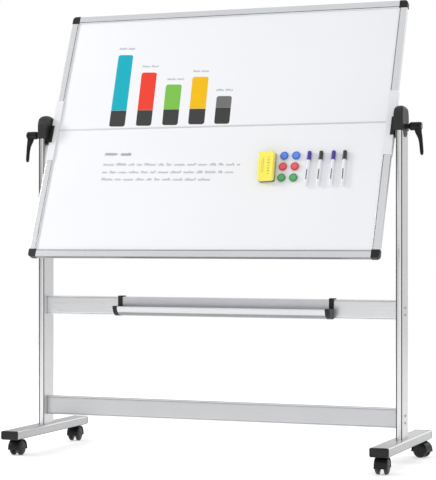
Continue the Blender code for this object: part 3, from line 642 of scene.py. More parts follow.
def polish(node, mat, name=None, angle=34.0, bevel=0.0, tilt_frame=None, seg=2):
    """A fine-finished piece with the CAD node's own shape: welded, its flat
    faces joined, its edges eased, and shaded smooth."""
    src = NODES[node]
    bm = bmesh.new()
    bm.from_mesh(src.data)
    bmesh.ops.remove_doubles(bm, verts=bm.verts, dist=0.00001)
    bmesh.ops.dissolve_limit(bm, angle_limit=math.radians(0.6), verts=bm.verts, edges=bm.edges)
    inv = tilt_frame.inverted() if tilt_frame is not None else ONE
    for v in bm.verts:
        v.co = inv @ v.co
    me = finish_mesh(bm, name or node + "_piece", angle)
    me.materials.clear()
    ob = piece(name or node + "_piece", me, mat, src["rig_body"], tilt_frame if tilt_frame is not None else ONE, node, weighted=False)
    if bevel:
        b = ob.modifiers.new("eased_edges", "BEVEL")
        b.width = bevel
        b.segments = seg
        b.limit_method = "ANGLE"
        b.angle_limit = math.radians(angle)
        b.harden_normals = False
    w = ob.modifiers.new("weighted_normals", "WEIGHTED_NORMAL")
    w.keep_sharp = True
    w.weight = 60
    return ob


def dress(node, mat):
    """A better material on a CAD node that stays."""
    me = NODES[node].data
    me.materials.clear()
    me.materials.append(mat)


# ------------------------------------------------------------------ board: panels, rails, caps
for n in ("upper_panel", "lower_panel"):
    dress(n, M_PANEL)
dress("panel_joint_strip", M_STRIP)


def rail_outline(flip=1):
    """Rail section, a from the outer edge inwards, b through the thickness: a
    hollow box with eased corners, a shadow line beside a raised inner bead,
    and the groove that holds the panel."""
    t = RAIL_T / 2
    g = PANEL_T / 2 + GAP
    a2 = RAIL_FACE - GROOVE_D
    half = [(0.0, -t, 0.0018), (0.0210, -t, 0.0003), (0.0212, -t + 0.0013, 0.0002), (0.0230, -t + 0.0013, 0.0002),
            (0.0232, -t + 0.0001, 0.0004), (0.0252, -t + 0.0004, 0.0006), (RAIL_FACE, -t + 0.0022, 0.0006), (RAIL_FACE, -g, 0.0), (a2, -g, 0.0)]
    pts = half + [(a, -b, r) for a, b, r in half[::-1]]
    outer = rounded([(flip * a, b, r) for a, b, r in pts], 5)
    w = RAIL_WALL + 0.0004
    inner = rounded([(flip * a, b, 0.0006) for a, b in ((w, -t + w), (a2 - w, -t + w), (a2 - w, t - w), (w, t - w))], 2)
    return [outer, inner]


def rail_mesh(name, along, edge, sign, lo, hi):
    loops = rail_outline(1)
    if along == "X":
        loops = [[(b, edge + sign * a) for a, b in lp] for lp in loops]
        me = extrude_mesh(name, loops, hi - lo, TO_X, (lo + hi) / 2)
    else:
        loops = [[(edge + sign * a, b) for a, b in lp] for lp in loops]
        me = extrude_mesh(name, loops, hi - lo, TO_Z, (lo + hi) / 2)
    for m in (M_RAIL_H if along == "X" else M_RAIL_V, M_RAIL_GROOVE_SHADE, M_RAIL_EDGE_SHADE):
        me.materials.append(m)
    for p in me.polygons:
        c = p.center
        a = sign * ((c.z if along == "X" else c.x) - edge)
        # groove faces beside the bead take the dark copy: painted shade
        if 0.0209 < a < 0.0233 and RAIL_T / 2 - 0.00145 < abs(c.y) < RAIL_T / 2 - 0.0004:
            p.material_index = 1
        # the bottom rail's outer lower faces take the dark copy: painted shade
        elif along == "X" and sign > 0 and a < 0.0006 and c.y < RAIL_T / 2 - 0.001:
            p.material_index = 2
    return me


xr = HW - CAP - GAP
piece("top_rail_profile", rail_mesh("top_rail", "X", RT, -1, -xr, xr), M_RAIL_H, "board", BOARD, "top_rail")
piece("bottom_rail_profile", rail_mesh("bottom_rail", "X", RB, 1, -xr, xr), M_RAIL_H, "board", BOARD, "bottom_rail")
for side_n, sx in (("left", -1), ("right", 1)):
    piece(side_n + "_rail_upper_profile", rail_mesh("ru", "Z", sx * RX, -sx, SEAM + GAP / 2, TOP - CAP - GAP), M_RAIL_V,
          "board", BOARD, side_n + "_rail_upper")
    piece(side_n + "_rail_lower_profile", rail_mesh("rl", "Z", sx * RX, -sx, BOT + CAP + GAP, SEAM - GAP / 2), M_RAIL_V,
          "board", BOARD, side_n + "_rail_lower")
    for vn in ("top", "bottom"):
        polish(f"corner_cap_{vn}_{side_n}", M_CAPS, tilt_frame=BOARD, bevel=0.0)
    polish(side_n + "_joint_sleeve", M_SLEEVE, tilt_frame=BOARD, bevel=0.0005)
    polish(side_n + "_pivot_bracket", M_BLACK, tilt_frame=BOARD, bevel=0.0004)
    dress(side_n + "_pivot_bolt", M_STEEL)


# ------------------------------------------------------------------ drawings on the front face
INK_Y0, INK_Y1 = FRONT + 0.00004, FRONT - 0.00012


def film(name, outline, mat, lift=0.0):
    """A thin ink film: an outline (x, v) on the writing face."""
    loops = [[(x, v) for x, v in outline]]
    t = INK_Y0 - INK_Y1
    return extrude_mesh(name, loops, t, TO_Y, (INK_Y0 + INK_Y1) / 2 - lift)


def lerp(p, q, t):
    return tuple(a + (b - a) * t for a, b in zip(p, q))


BARS = (
    ("teal", lin(27, 184, 203), (-401.7, 296.3), (-346.8, 293.8), 84.5, (-390.4, 24.4), (-332.8, 22.9)),
    ("red", lin(249, 75, 58), (-304.0, 225.4), (-247.4, 223.1), 83.2, (-292.2, 24.7), (-236.4, 23.2)),
    ("green", lin(134, 203, 87), (-207.2, 176.3), (-149.3, 174.1), 83.3, (-196.9, 24.7), (-141.0, 23.2)),
    ("yellow", lin(255, 200, 10), (-115.1, 201.7), (-57.0, 199.4), 82.6, (-103.9, 25.1), (-46.6, 23.6)),
    ("grey", lin(123, 123, 123), (-17.3, 126.6), (36.6, 124.8), 84.6, (-11.8, 24.4), (41.6, 23.0)),
)
M_BASE_INK = ink("ink_dark", lin(62, 62, 62), 0.08)
for nm, col, tl, tr, sp, bl, br in BARS:
    m = ink("ink_" + nm, tuple(max(v * 0.90 - 0.012, 0.004) for v in col))
    ls = lerp(bl, tl, (sp - bl[1]) / (tl[1] - bl[1]))
    rs = lerp(br, tr, (sp - br[1]) / (tr[1] - br[1]))
    mm = 0.001
    up_pts = [(ls[0] * mm, (sp + 0.1) * mm, 0), (rs[0] * mm, (sp - 1.4) * mm, 0), (tr[0] * mm, tr[1] * mm, 0.0085), (tl[0] * mm, tl[1] * mm, 0.0085)]
    lo_pts = [(bl[0] * mm, bl[1] * mm, 0.0085), (br[0] * mm, br[1] * mm, 0.0085), (rs[0] * mm, (sp - 1.9) * mm, 0), (ls[0] * mm, (sp - 0.4) * mm, 0)]
    piece("chart_bar_" + nm, film("bar_" + nm, rounded(up_pts, 8), m), m, "board", BOARD, weighted=False)
    piece("chart_base_" + nm, film("base_" + nm, rounded(lo_pts, 8), M_BASE_INK), M_BASE_INK, "board", BOARD, weighted=False)


def ribbon(path, w):
    """Outline of a stroke of width w along an open path, ends rounded."""
    left, right = [], []
    n = len(path)
    for i, p in enumerate(path):
        a, b = Vector(path[max(i - 1, 0)]), Vector(path[min(i + 1, n - 1)])
        d = (b - a).normalized()
        nn = Vector((-d.y, d.x))
        left.append(Vector(p) + nn * w / 2)
        right.append(Vector(p) - nn * w / 2)
    return left, right


def strokes_mesh(name, paths, w, lift=0.0):
    """Several thin closed strokes as one mesh."""
    bm = bmesh.new()
    y0, y1 = INK_Y0 - lift, INK_Y1 - lift
    for path in paths:
        left, right = ribbon(path, w)
        rows = []
        for l, r in zip(left, right):
            rows.append([bm.verts.new((l.x, y1, l.y)), bm.verts.new((r.x, y1, r.y)), bm.verts.new((r.x, y0, r.y)), bm.verts.new((l.x, y0, l.y))])
        for a, b in zip(rows, rows[1:]):
            for i in range(4):
                j = (i + 1) % 4
                bm.faces.new((a[i], a[j], b[j], b[i]))
        bm.faces.new(rows[0][::-1])
        bm.faces.new(rows[-1])
    return finish_mesh(bm, name)


def scribble(x0, x1, v0, v1, low, tall, pitch, seed, word=(0.016, 0.040), space=0.0065):
    """A row of looping marks that stands for handwriting, grouped like words,
    with no letters in it.  x0..x1 along the row, v0..v1 its slope."""
    rng = random.Random(seed)
    paths = []
    x = x0
    while x < x1 - 0.006:
        end = min(x + rng.uniform(*word), x1)
        if x1 - end < 0.012:
            end = x1
        half = max(3, round((end - x) / (pitch / 2)))
        marks = []
        for k in range(half + 1):
            if k % 2:
                h = tall if rng.random() < 0.22 else low * rng.uniform(0.85, 1.1)
            else:
                h = low * rng.uniform(-0.06, 0.12)
            marks.append(h)
        pts = []
        for k in range(half):
            for j in range(4):
                t = (k + j / 4) / half
                f = 0.5 - 0.5 * math.cos(math.pi * j / 4)
                h = marks[k] + (marks[k + 1] - marks[k]) * f
                xx = x + (end - x) * t
                pts.append((xx + 0.10 * h, v0 + (v1 - v0) * (xx - x0) / (x1 - x0) - tall * 0.42 + h))
        paths.append(pts)
        x = end + space
    return paths


M_TITLE = ink("ink_title", lin(92, 94, 99), 0.10)
M_TEXT = ink("ink_text", lin(118, 120, 125), 0.10)
M_LABEL = ink("ink_label", lin(140, 142, 146), 0.10)
title = scribble(-0.386, -0.290, -0.0765, -0.0790, 0.0098, 0.0155, 0.0088, 11, (0.042, 0.050), 0.012)
piece("title_marks", strokes_mesh("title", title, 0.0024), M_TITLE, "board", BOARD, weighted=False)
lines = []
for i, (xa, xb, va, vb) in enumerate(((-0.386, 0.101, -0.1160, -0.1240), (-0.385, 0.081, -0.1440, -0.1510), (-0.384, 0.005, -0.1700, -0.1760))):
    lines += scribble(xa, xb, va, vb, 0.0064, 0.0104, 0.0062, 20 + i, (0.014, 0.042), 0.0085)
piece("text_marks", strokes_mesh("text", lines, 0.00125), M_TEXT, "board", BOARD, weighted=False)
labels = []
for i, (xa, xb, v) in enumerate(((-0.403, -0.344, 0.320), (-0.305, -0.245, 0.248), (-0.206, -0.144, 0.1965), (-0.116, -0.059, 0.223), (-0.023, 0.037, 0.149))):
    labels += scribble(xa, xb, v, v - 0.002, 0.0058, 0.0080, 0.0052, 40 + i, (0.024, 0.034), 0.005)
piece("label_marks", strokes_mesh("labels", labels, 0.0012), M_LABEL, "board", BOARD, weighted=False)


# ------------------------------------------------------------------ posts
def post_outline():
    """Post section: a crowned front rib between two narrow slots, front and
    back, and gently bowed sides with a shallow middle band."""
    q = [(0.0069, -0.0343, 0.0006), (0.0072, -0.0316, 0.0003), (0.0098, -0.0316, 0.0003), (0.0100, -0.0341, 0.0002),
         (0.0105, -0.0345, 0.0004), (0.01085, -0.0325, 0.003), (0.0110, -0.0200, 0.0), (0.01075, -0.0188, 0.0)]
    crown = [(-0.0069 + 0.0138 * i / 8, -0.0343 - 0.0007 * (1 - (2 * i / 8 - 1) ** 2)) for i in range(1, 8)]
    top = [(a, b, 0.0) for a, b in crown]
    right = top + q + [(a, -b, r) for a, b, r in q[::-1]]
    left = [(-a, -b, r) for a, b, r in top + q] + [(-a, b, r) for a, b, r in q[::-1]]
    return rounded(right + left, 5)


def mark_slots(me, test, index=1):
    for p in me.polygons:
        if test(p.center):
            p.material_index = index


for side_n, sx in (("left", -1), ("right", 1)):
    z0, z1 = FOOT_TOP + GAP, PIVOT_Z + POST_UP
    inner = rrect(0.0150, 0.0580, 0.0015, 3)
    me = extrude_mesh(side_n + "_post", [post_outline(), inner], z1 - z0, TO_Z, (z0 + z1) / 2)
    me = baked(me, cutters=[rod(BOLT_R + GAP, 0.05, move(0, 0, PIVOT_Z) @ turn("Y", 90))])
    resmooth(me)
    me.materials.clear()
    me.materials.append(M_POST)
    me.materials.append(M_SLOT_SHADE)
    me.materials.append(M_POST_SIDE_SHADE)
    # side faces take the darker copy: painted shade
    for p in me.polygons:
        if abs(p.normal.x) > 0.9 and abs(p.center.x) > 0.0104:
            p.material_index = 2
    # slot faces take the dark copy: painted shade
    mark_slots(me, lambda c: 0.0312 < abs(c.y) < 0.0342 and 0.0068 < abs(c.x) < 0.01005)
    piece(side_n + "_post_profile", me, [M_POST, M_SLOT_SHADE], "stand", move(sx * POST_MID, 0, 0), side_n + "_post")
    polish(side_n + "_post_head", M_HEAD)


# ------------------------------------------------------------------ crossbars and their screws
def bar_outline():
    d, h = BAR_D / 2, BAR_H / 2
    q = [(-d + 0.0004, -h + 0.0058, 0.001), (-d + 0.0004, -h + 0.0042, 0.0003), (-d + 0.0016, -h + 0.0040, 0.0002), (-d + 0.0016, -h + 0.0032, 0.0002),
         (-d + 0.0002, -h + 0.0030, 0.0002), (-d + 0.0012, -h, 0.0008), (0.0, -h, 0.0)]
    low = [(-d, -h + 0.0075, 0.0)] + q
    right = [(-a, b, r) for a, b, r in low[:-1][::-1]]
    bottom = low + right
    top = [(-a, -b, r) for a, b, r in bottom]
    return rounded(bottom + top, 4)


for nm, z in (("upper_crossbar", UPPER_BAR_Z), ("lower_crossbar", LOWER_BAR_Z)):
    inner = rrect(BAR_D - 0.0060, BAR_H - 0.0080, 0.001, 2)
    me = extrude_mesh(nm, [bar_outline(), inner], 2 * (POST_X - POST_W - GAP), TO_X)
    # the lower crossbar takes the darker copy: painted shade
    me.materials.append(M_BAR if nm.startswith("upper") else M_BAR_LOW_SHADE)
    me.materials.append(M_BAR_SLOT_SHADE)
    me.materials.append(M_BAR_EDGE_HIGHLIGHT)
    # slot faces take the dark copy: painted shade
    mark_slots(me, lambda c: BAR_H / 2 - 0.0042 < abs(c.z) < BAR_H / 2 - 0.0031 and BAR_D / 2 - 0.0020 < abs(c.y) < BAR_D / 2 - 0.0003)
    # the band under the top edge takes the light copy: painted highlight
    mark_slots(me, lambda c: BAR_H / 2 - 0.0030 < c.z < BAR_H / 2 - 0.0001 and BAR_D / 2 - 0.0013 < abs(c.y), 2)
    piece(nm + "_profile", me, [M_BAR, M_BAR_SLOT_SHADE], "stand", move(0, 0, z), nm)


def screw_mesh():
    """Low round head with a hexagon socket."""
    seg = 36
    rings = []
    for r, z in ((0.0040, 0.0), (0.0042, 0.0003), (0.0042, 0.0009), (0.0038, 0.0016), (0.0030, 0.0020), (0.0024, 0.0021)):
        rings.append([(r * math.cos(2 * math.pi * i / seg), r * math.sin(2 * math.pi * i / seg), z) for i in range(seg)])
    def hexa(r, z):
        out = []
        for i in range(seg):
            a = 2 * math.pi * i / seg
            k = math.cos(math.pi / 6) / math.cos((a % (math.pi / 3)) - math.pi / 6)
            out.append((r * k * math.cos(a), r * k * math.sin(a), z))
        return out
    rings += [hexa(0.0020, 0.0020), hexa(0.0019, 0.0008), hexa(0.0004, 0.0006)]
    return loft_mesh("screw", rings)


screw = screw_mesh()
for side_n, sx in (("left", -1), ("right", 1)):
    for bar_n, zc, dz in (("upper", 0.483, 0.0113), ("lower", 0.1440, 0.0113)):
        for k, s in (("a", 1), ("b", -1)):
            m = move(sx * (POST_X - 0.00035), 0.0, zc + s * dz) @ turn("Y", 90 * sx)
            piece(f"{side_n}_{bar_n}_screw_{k}", screw, M_SCREW, "stand", m)


# ------------------------------------------------------------------ feet and their caps
def foot_outline():
    w, h = FOOT_W / 2, FOOT_H / 2
    pts = [(w, -h, 0.0035), (w, h - 0.0002, 0.0055), (0.0212, h - 0.0001, 0.0002), (0.0208, h - 0.0007, 0.0002), (0.0202, h - 0.0007, 0.0002), (0.0198, h, 0.0002),
           (-0.0198, h, 0.0002), (-0.0202, h - 0.0007, 0.0002), (-0.0208, h - 0.0007, 0.0002), (-0.0212, h - 0.0001, 0.0002), (-w, h - 0.0002, 0.0055), (-w, -h, 0.0035)]
    return rounded(pts, 7)


def cap_mesh(name):
    """End cap, outwards along local Z: eased edge, raised rim, sunken centre."""
    w, h = FOOT_W + 0.0006, FOOT_H + 0.0006
    rings = []
    for inset, z in ((0.0004, 0.0), (0.0, 0.0004), (0.0, 0.0036), (0.0003, 0.0047), (0.0011, 0.0056), (0.0021, 0.0060), (0.0033, 0.0060), (0.0039, 0.0056),
                     (0.0043, 0.0048), (0.0047, 0.0044), (0.0054, 0.0042), (0.0095, 0.0044), (0.0120, 0.0045)):
        r = max(0.0058 - inset, 0.0006)
        rings.append([(a, b, z) for a, b in rrect(w - 2 * inset, h - 2 * inset, r, 7)])
    return loft_mesh(name, rings)


cap_me = cap_mesh("foot_cap")
for side_n, sx in (("left", -1), ("right", 1)):
    yl = FOOT_HALF - FOOT_CAP - GAP
    inner = rrect(FOOT_W - 0.0040, FOOT_H - 0.0040, 0.002, 3)
    me = extrude_mesh(side_n + "_foot", [foot_outline(), inner], 2 * yl, TO_Y)
    holes = [rod(0.0053, 0.02, move(0, s * STEM_Y, -FOOT_H / 2)) for s in (-1, 1)]
    me = resmooth(baked(me, cutters=holes))
    me.materials.clear()
    for m in (M_FOOT_SIDE_SHADE, M_FOOT_TOP, M_FOOT_LOW_SHADE, M_FOOT_EDGE_HIGHLIGHT):
        me.materials.append(m)
    # the sides keep the darker first copy (painted shade) and the top faces take the plain-toned top copy
    for p in me.polygons:
        # upper rounded edges take the light copy: painted highlight
        if 0.30 < p.normal.z < 0.97 and abs(p.center.x) > 0.024:
            p.material_index = 3
        elif p.normal.z > 0.75 and p.center.z > 0.0:
            p.material_index = 1
        # downward faces take the dark copy: painted shade
        elif p.normal.z < -0.25 and p.center.z < -0.008:
            p.material_index = 2
    piece(side_n + "_foot_profile", me, M_FOOT_SIDE_SHADE, "stand", move(sx * POST_MID, 0, FOOT_TOP - FOOT_H / 2), side_n + "_foot")
    for k, sy in (("front", -1), ("rear", 1)):
        m = move(sx * POST_MID, sy * (FOOT_HALF - FOOT_CAP), FOOT_TOP - FOOT_H / 2) @ turn("X", -90 * sy)
        piece(f"{side_n}_foot_end_{k}", cap_me, M_BLACK, "stand", m, f"{side_n}_foot_cap_{k}")


# ------------------------------------------------------------------ pen tray
def strip_outline(path, t):
    left, right = [], []
    n = len(path)
    for i, p in enumerate(path):
        a, b, p = Vector(path[max(i - 1, 0)]), Vector(path[min(i + 1, n - 1)]), Vector(p)
        if 0 < i < n - 1:
            d1, d2 = (p - a).normalized(), (b - p).normalized()
            n1, n2 = Vector((-d1.y, d1.x)), Vector((-d2.y, d2.x))
            m = (n1 + n2).normalized()
            k = 1.0 / max(m.dot(n1), 0.3)
        else:
            d = (b - a).normalized()
            m, k = Vector((-d.y, d.x)), 1.0
        left.append(tuple(p + m * (t / 2 * k)))
        right.append(tuple(p - m * (t / 2 * k)))
    return left + right[::-1]


BAR_TOP = UPPER_BAR_Z + BAR_H / 2
yb = -BAR_D / 2 - GAP - TRAY_T / 2
tp = [(yb, BAR_TOP - 0.0015), (yb, TRAY_FLOOR + 0.0060)] + arc(yb - 0.0060, TRAY_FLOOR + 0.0060, 0.0060, 0, -90, 8)[1:]
tp += arc(-0.0300, TRAY_FLOOR + TRAY_R, TRAY_R, 270, 180, 26)
tp += [(-0.0600, TRAY_FLOOR + TRAY_R + 0.0004)]
tray_loop = strip_outline(tp, TRAY_T)
tray_len = (TRAY_X1 - TRAY_X0) - 2 * TRAY_CAP_L - 2 * GAP
tray_mid = (TRAY_X0 + TRAY_X1) / 2
tray_me = extrude_mesh("pen_tray", [tray_loop], tray_len, TO_X, tray_mid)
for m in (M_TRAY, M_TRAY_UNDERSIDE_SHADE):
    tray_me.materials.append(m)
# downward faces low on the tray take the darker copy: painted shade
for p in tray_me.polygons:
    if p.normal.z < -0.62 and p.center.z < TRAY_FLOOR + 0.016:
        p.material_index = 1
piece("pen_tray_profile", tray_me, M_TRAY, "tray", ONE, "pen_tray")
bead = rrect(0.0021, 0.0021, 0.00095, 5, -0.0598, TRAY_FLOOR + TRAY_R - 0.0006)
piece("pen_tray_bead", extrude_mesh("pen_tray_bead", [bead], tray_len, TO_X, tray_mid), M_TRAY, "tray", ONE)
ribs = []
for y in (-0.0250, -0.0305, -0.0360):
    rib = rrect(0.0016, 0.0012, 0.0005, 3, y, TRAY_FLOOR + TRAY_T / 2 + 0.0002 + (TRAY_R - math.sqrt(TRAY_R ** 2 - (y + 0.0300) ** 2) if y < -0.03 else 0.0))
    ribs.append(extrude_mesh("rib", [rib], tray_len, TO_X, tray_mid))
bm = bmesh.new()
for r in ribs:
    bm.from_mesh(r)
piece("pen_tray_ribs", finish_mesh(bm, "pen_tray_ribs"), M_TRAY, "tray", ONE)
for s in ("left", "right"):
    polish("tray_hook_" + s, M_BLACK)


# ------------------------------------------------------------------ clamp levers
def catmull(rows, n):
    """Smooth path through rows of numbers."""
    out = []
    for i in range(len(rows) - 1):
        p0, p1, p2, p3 = rows[max(i - 1, 0)], rows[i], rows[i + 1], rows[min(i + 2, len(rows) - 1)]
        for j in range(n):
            t = j / n
            out.append(tuple(0.5 * (2 * b + (c - a) * t + (2 * a - 5 * b + 4 * c - d) * t * t + (3 * b - a - 3 * c + d) * t ** 3)
                             for a, b, c, d in zip(p0, p1, p2, p3)))
    out.append(tuple(rows[-1]))
    return out


WAY = [(0.6750, -0.004, 0.0116), (0.6757, -0.014, 0.0111), (0.6772, -0.020, 0.0102), (0.6795, -0.027, 0.0088), (0.6820, -0.036, 0.0074),
       (0.6840, -0.048, 0.0064), (0.6856, -0.062, 0.0059), (0.6868, -0.077, 0.0058), (0.6872, -0.0835, 0.0055), (0.6874, -0.0875, 0.0046),
       (0.6875, -0.0898, 0.0032), (0.6875, -0.0908, 0.0014)]
for side_n, sx in (("left", -1), ("right", 1)):
    out = LOOSE[side_n]
    x0 = POST_X + GAP
    h0, h1 = HUB_X0 + out, HUB_X1 + out
    prof = [(0.0, h1 - 0.0016), (0.0052, h1 - 0.0016, 0.0002), (0.0060, h1 - 0.0003, 0.0003), (0.0072, h1, 0.0005), (HUB_R - 0.0026, h1, 0.0012), (HUB_R, h1 - 0.0034, 0.0022),
            (HUB_R, h1 - 0.0075, 0.0002), (HUB_R - 0.0006, h1 - 0.0079, 0.0002), (HUB_R - 0.0006, h1 - 0.0087, 0.0002), (HUB_R, h1 - 0.0091, 0.0002),
            (HUB_R, h0 + 0.0050, 0.0020), (HUB_R - 0.0020, h0 + 0.0010, 0.0012), (NECK_R + 0.0006, h0, 0.0006), (NECK_R, h0 - 0.0012, 0.0006), (NECK_R, x0 + 0.0040, 0.0004),
            (0.0, x0 + 0.0040)]
    hub = lathe_mesh(side_n + "_hub", open_rounded(prof, 6), 64)
    rows = catmull(WAY, 5)
    rings = []
    for i, (ax, az, rr) in enumerate(rows):
        a, b = Vector(rows[max(i - 1, 0)][:2]), Vector(rows[min(i + 1, len(rows) - 1)][:2])
        d = (b - a).normalized()
        nrm = Vector((-d.y, d.x))                        # in the (axis, hanging) plane
        ring = []
        for k in range(28):
            t = 2 * math.pi * k / 28
            u = rr * math.cos(t)
            w = rr * math.sin(t) * (1.06 if rr < 0.009 else 1.0)
            px, pz = ax + out + nrm.x * u, az + nrm.y * u
            ring.append((-pz, w, px))                    # local: x hangs down, z is the turning axis
        rings.append(ring)
    arm = loft_mesh(side_n + "_arm", rings)
    me = baked(hub, unions=[arm])
    me = baked(me, cutters=[rod(BOLT_R + GAP, 0.676 - x0 + 0.01, move(0, 0, (0.676 + x0 - 0.01) / 2))])
    resmooth(me, 38)
    me.materials.clear()
    flip = turn("Y", 90) if sx > 0 else turn("Z", 180) @ turn("Y", 90)
    m = move(0, 0, PIVOT_Z) @ flip
    piece(side_n + "_lever_grip", me, M_LEVER, side_n + "_lever", m, side_n + "_clamp_lever")
    washer = open_rounded([(0.0, x0), (0.0106, x0, 0.0002), (0.0115, x0 + 0.0004, 0.0003), (0.0115, x0 + 0.0024, 0.0004), (0.0108, x0 + 0.0031, 0.0003), (0.0085, x0 + 0.0034, 0.0003), (0.0, x0 + 0.0034)], 4)
    me = baked(lathe_mesh(side_n + "_washer", washer, 56), cutters=[rod(BOLT_R + GAP, 0.02, move(0, 0, x0))])
    resmooth(me)
    me.materials.clear()
    piece(side_n + "_lever_collar", me, M_LEVER, side_n + "_lever", m)
    seg = 48
    rings = []
    for r, z in ((0.0049, h1 - 0.0018), (0.0049, h1 - 0.0008), (0.0044, h1 - 0.0004), (0.0030, h1 - 0.0003)):
        rings.append([(r * math.cos(2 * math.pi * i / seg), r * math.sin(2 * math.pi * i / seg), z) for i in range(seg)])
    for r, z in ((0.0024, h1 - 0.0004), (0.0022, h1 - 0.0014), (0.0005, h1 - 0.0016)):
        ring = []
        for i in range(seg):
            a = 2 * math.pi * i / seg
            k = math.cos(math.pi / 6) / math.cos((a % (math.pi / 3)) - math.pi / 6)
            ring.append((r * k * math.cos(a), r * k * math.sin(a), z))
        rings.append(ring)
    piece(side_n + "_lever_screw", loft_mesh(side_n + "_lever_screw", rings), M_SCREW, side_n + "_lever", m)


# ------------------------------------------------------------------ casters
def wheel_mesh():
    prof = [(0.0, 0.0213), (0.0038, 0.0213, 0.0002), (0.0043, 0.0221, 0.0002), (0.0060, 0.0221, 0.0003), (0.0066, 0.0214, 0.0003), (0.0105, 0.0215, 0.002),
            (0.0140, 0.0211, 0.0008), (0.0144, 0.0204, 0.0002), (0.0150, 0.0204, 0.0002), (0.0154, 0.0209, 0.0002), (0.0190, 0.0201, 0.003), (0.0222, 0.0185, 0.002),
            (0.0232, 0.0174, 0.0003), (0.0234, 0.0168, 0.0002), (0.0241, 0.0166, 0.0003), (0.0250, 0.0154, 0.0010), (0.0250, 0.0104, 0.0008), (0.0242, 0.0092, 0.0008),
            (0.0065, 0.0039, 0.0008), (0.0033, 0.0039, 0.0), (0.0033, 0.0194, 0.0), (0.0, 0.0194)]
    me = lathe_mesh("caster_wheel", open_rounded(prof, 5), 72)
    me.materials.append(M_WHEEL)
    me.materials.append(M_TREAD)
    for p in me.polygons:
        c = p.center
        if math.hypot(c.x, c.y) > 0.0236 and 0.0085 < c.z < 0.0168:
            p.material_index = 1
    return me


wheel = wheel_mesh()
for pn, ang in CASTER_TURN.items():
    sx = 1 if pn.endswith("right") else -1
    sy = -1 if pn.startswith("front") else 1
    root = move(sx * POST_MID, sy * STEM_Y, 0) @ turn("Z", ang)
    polish(pn + "_caster_hood", M_HOOD, bevel=0.0003, angle=40)
    for k, sg in (("outer", 1), ("inner", -1)):
        m = root @ move(TRAIL, 0, WHEEL_R) @ turn("X", -90 * sg)
        piece(f"{pn}_{k}_disc", wheel, [M_WHEEL, M_TREAD], f"{pn}_{k}_wheel", m, f"{pn}_wheel_{k}")


# ------------------------------------------------------------------ eraser
M_YELLOW = moulded("eraser_yellow", lin(252, 240, 96), 0.38, 0.0010, 0.00005, 0.03, 0.05, Coat_Weight=0.15)
M_YELLOW_D = moulded("eraser_mark", lin(196, 178, 60), 0.45, 0.0010, 0.00004, 0.05, 0.05)
M_FELT = felt_material("eraser_felt_pad", (0.060, 0.058, 0.045))
ER = BOARD @ move(ERASER_X, FRONT - GAP, ERASER_Z) @ turn("Y", -ERASER_TURN)
out_n = turn("X", 90)                                    # local Z becomes -Y: out of the board
rings = []
b0 = ERASER_FELT_T
for inset, z in ((0.0012, b0), (0.0002, b0 + 0.0008), (0.0, b0 + 0.0020), (0.0, b0 + 0.0055), (0.0006, b0 + 0.0060), (0.0006, b0 + 0.0072), (0.0, b0 + 0.0077), (0.0, b0 + 0.0135),
                 (0.0005, b0 + 0.0158), (0.0016, b0 + 0.0173), (0.0030, b0 + 0.0180), (0.0052, b0 + 0.0180), (0.0058, b0 + 0.0176), (0.0064, b0 + 0.0174), (0.0120, b0 + 0.01745), (0.0180, b0 + 0.01745)):
    r = max(0.0085 - inset * 0.9, 0.0012)
    rings.append([(a, b, z) for a, b in rrect(ERASER_W - 2 * inset, ERASER_L - 2 * inset, r, 8)])
piece("eraser_shell", loft_mesh("eraser_shell", rings), M_YELLOW, "board", ER @ out_n, "eraser_body")
rings = []
for i in range(5):
    z0 = 0.0001 + i * 0.0016
    for inset, z in ((0.0016, z0), (0.0009, z0 + 0.0003), (0.0008, z0 + 0.0011), (0.0016, z0 + 0.0014)):
        rings.append([(a + 0.00018 * math.sin(a * 900 + b * 700 + i * 2.1), b + 0.00018 * math.sin(b * 800 - a * 600 + i), z)
                      for a, b in rrect(ERASER_W - 2 * inset, ERASER_L - 2 * inset, 0.004, 8)])
piece("eraser_felt_layers", loft_mesh("eraser_felt", rings, 60), M_FELT, "board", ER @ out_n, "eraser_felt")
# embossed generic strokes on the shell
bm = bmesh.new()
MARKS = [(0.0095, 0.026 - 0.0095 * i, 0.0070, 0.0024 + 0.0014 * (i % 3)) for i in range(7)]
MARKS += [(-0.0075, 0.001, 0.0014, 0.050), (-0.0125, 0.004, 0.0012, 0.030), (-0.0125, -0.020, 0.0012, 0.010)]
for k, (x0, z0, w, h) in enumerate(MARKS):
    rr = []
    for inset, z in ((0.0, b0 + 0.0172), (0.0, b0 + 0.0176), (0.0003, b0 + 0.0178)):
        rr.append([(a, b, z) for a, b in rrect(w - 2 * inset, h - 2 * inset, max(min(w, h) / 2 - inset - 0.0001, 0.0002), 5, x0, z0)])
    bm.from_mesh(loft_mesh("mark", rr))
piece("eraser_marks", finish_mesh(bm, "eraser_marks"), M_YELLOW_D, "board", ER @ out_n)


# ------------------------------------------------------------------ magnets
def magnet_mesh(name):
    """Button magnet: eased rim, dished centre with a soft crown."""
    r, t = MAGNET_R, MAGNET_T
    prof = [(0.0, t - 0.0004), (r * 0.30, t - 0.0005, 0.002), (r * 0.60, t - 0.0011, 0.0016), (r * 0.68, t - 0.0010, 0.0008), (r * 0.76, t - 0.0001, 0.0008), (r * 0.88, t, 0.0014),
            (r, t - 0.0018, 0.0016), (r, 0.0012, 0.0006), (r - 0.0006, 0.0008, 0.0002), (r - 0.0006, 0.0001, 0.0002), (0.0, 0.0001)]
    return lathe_mesh(name, open_rounded(prof, 6), 64)


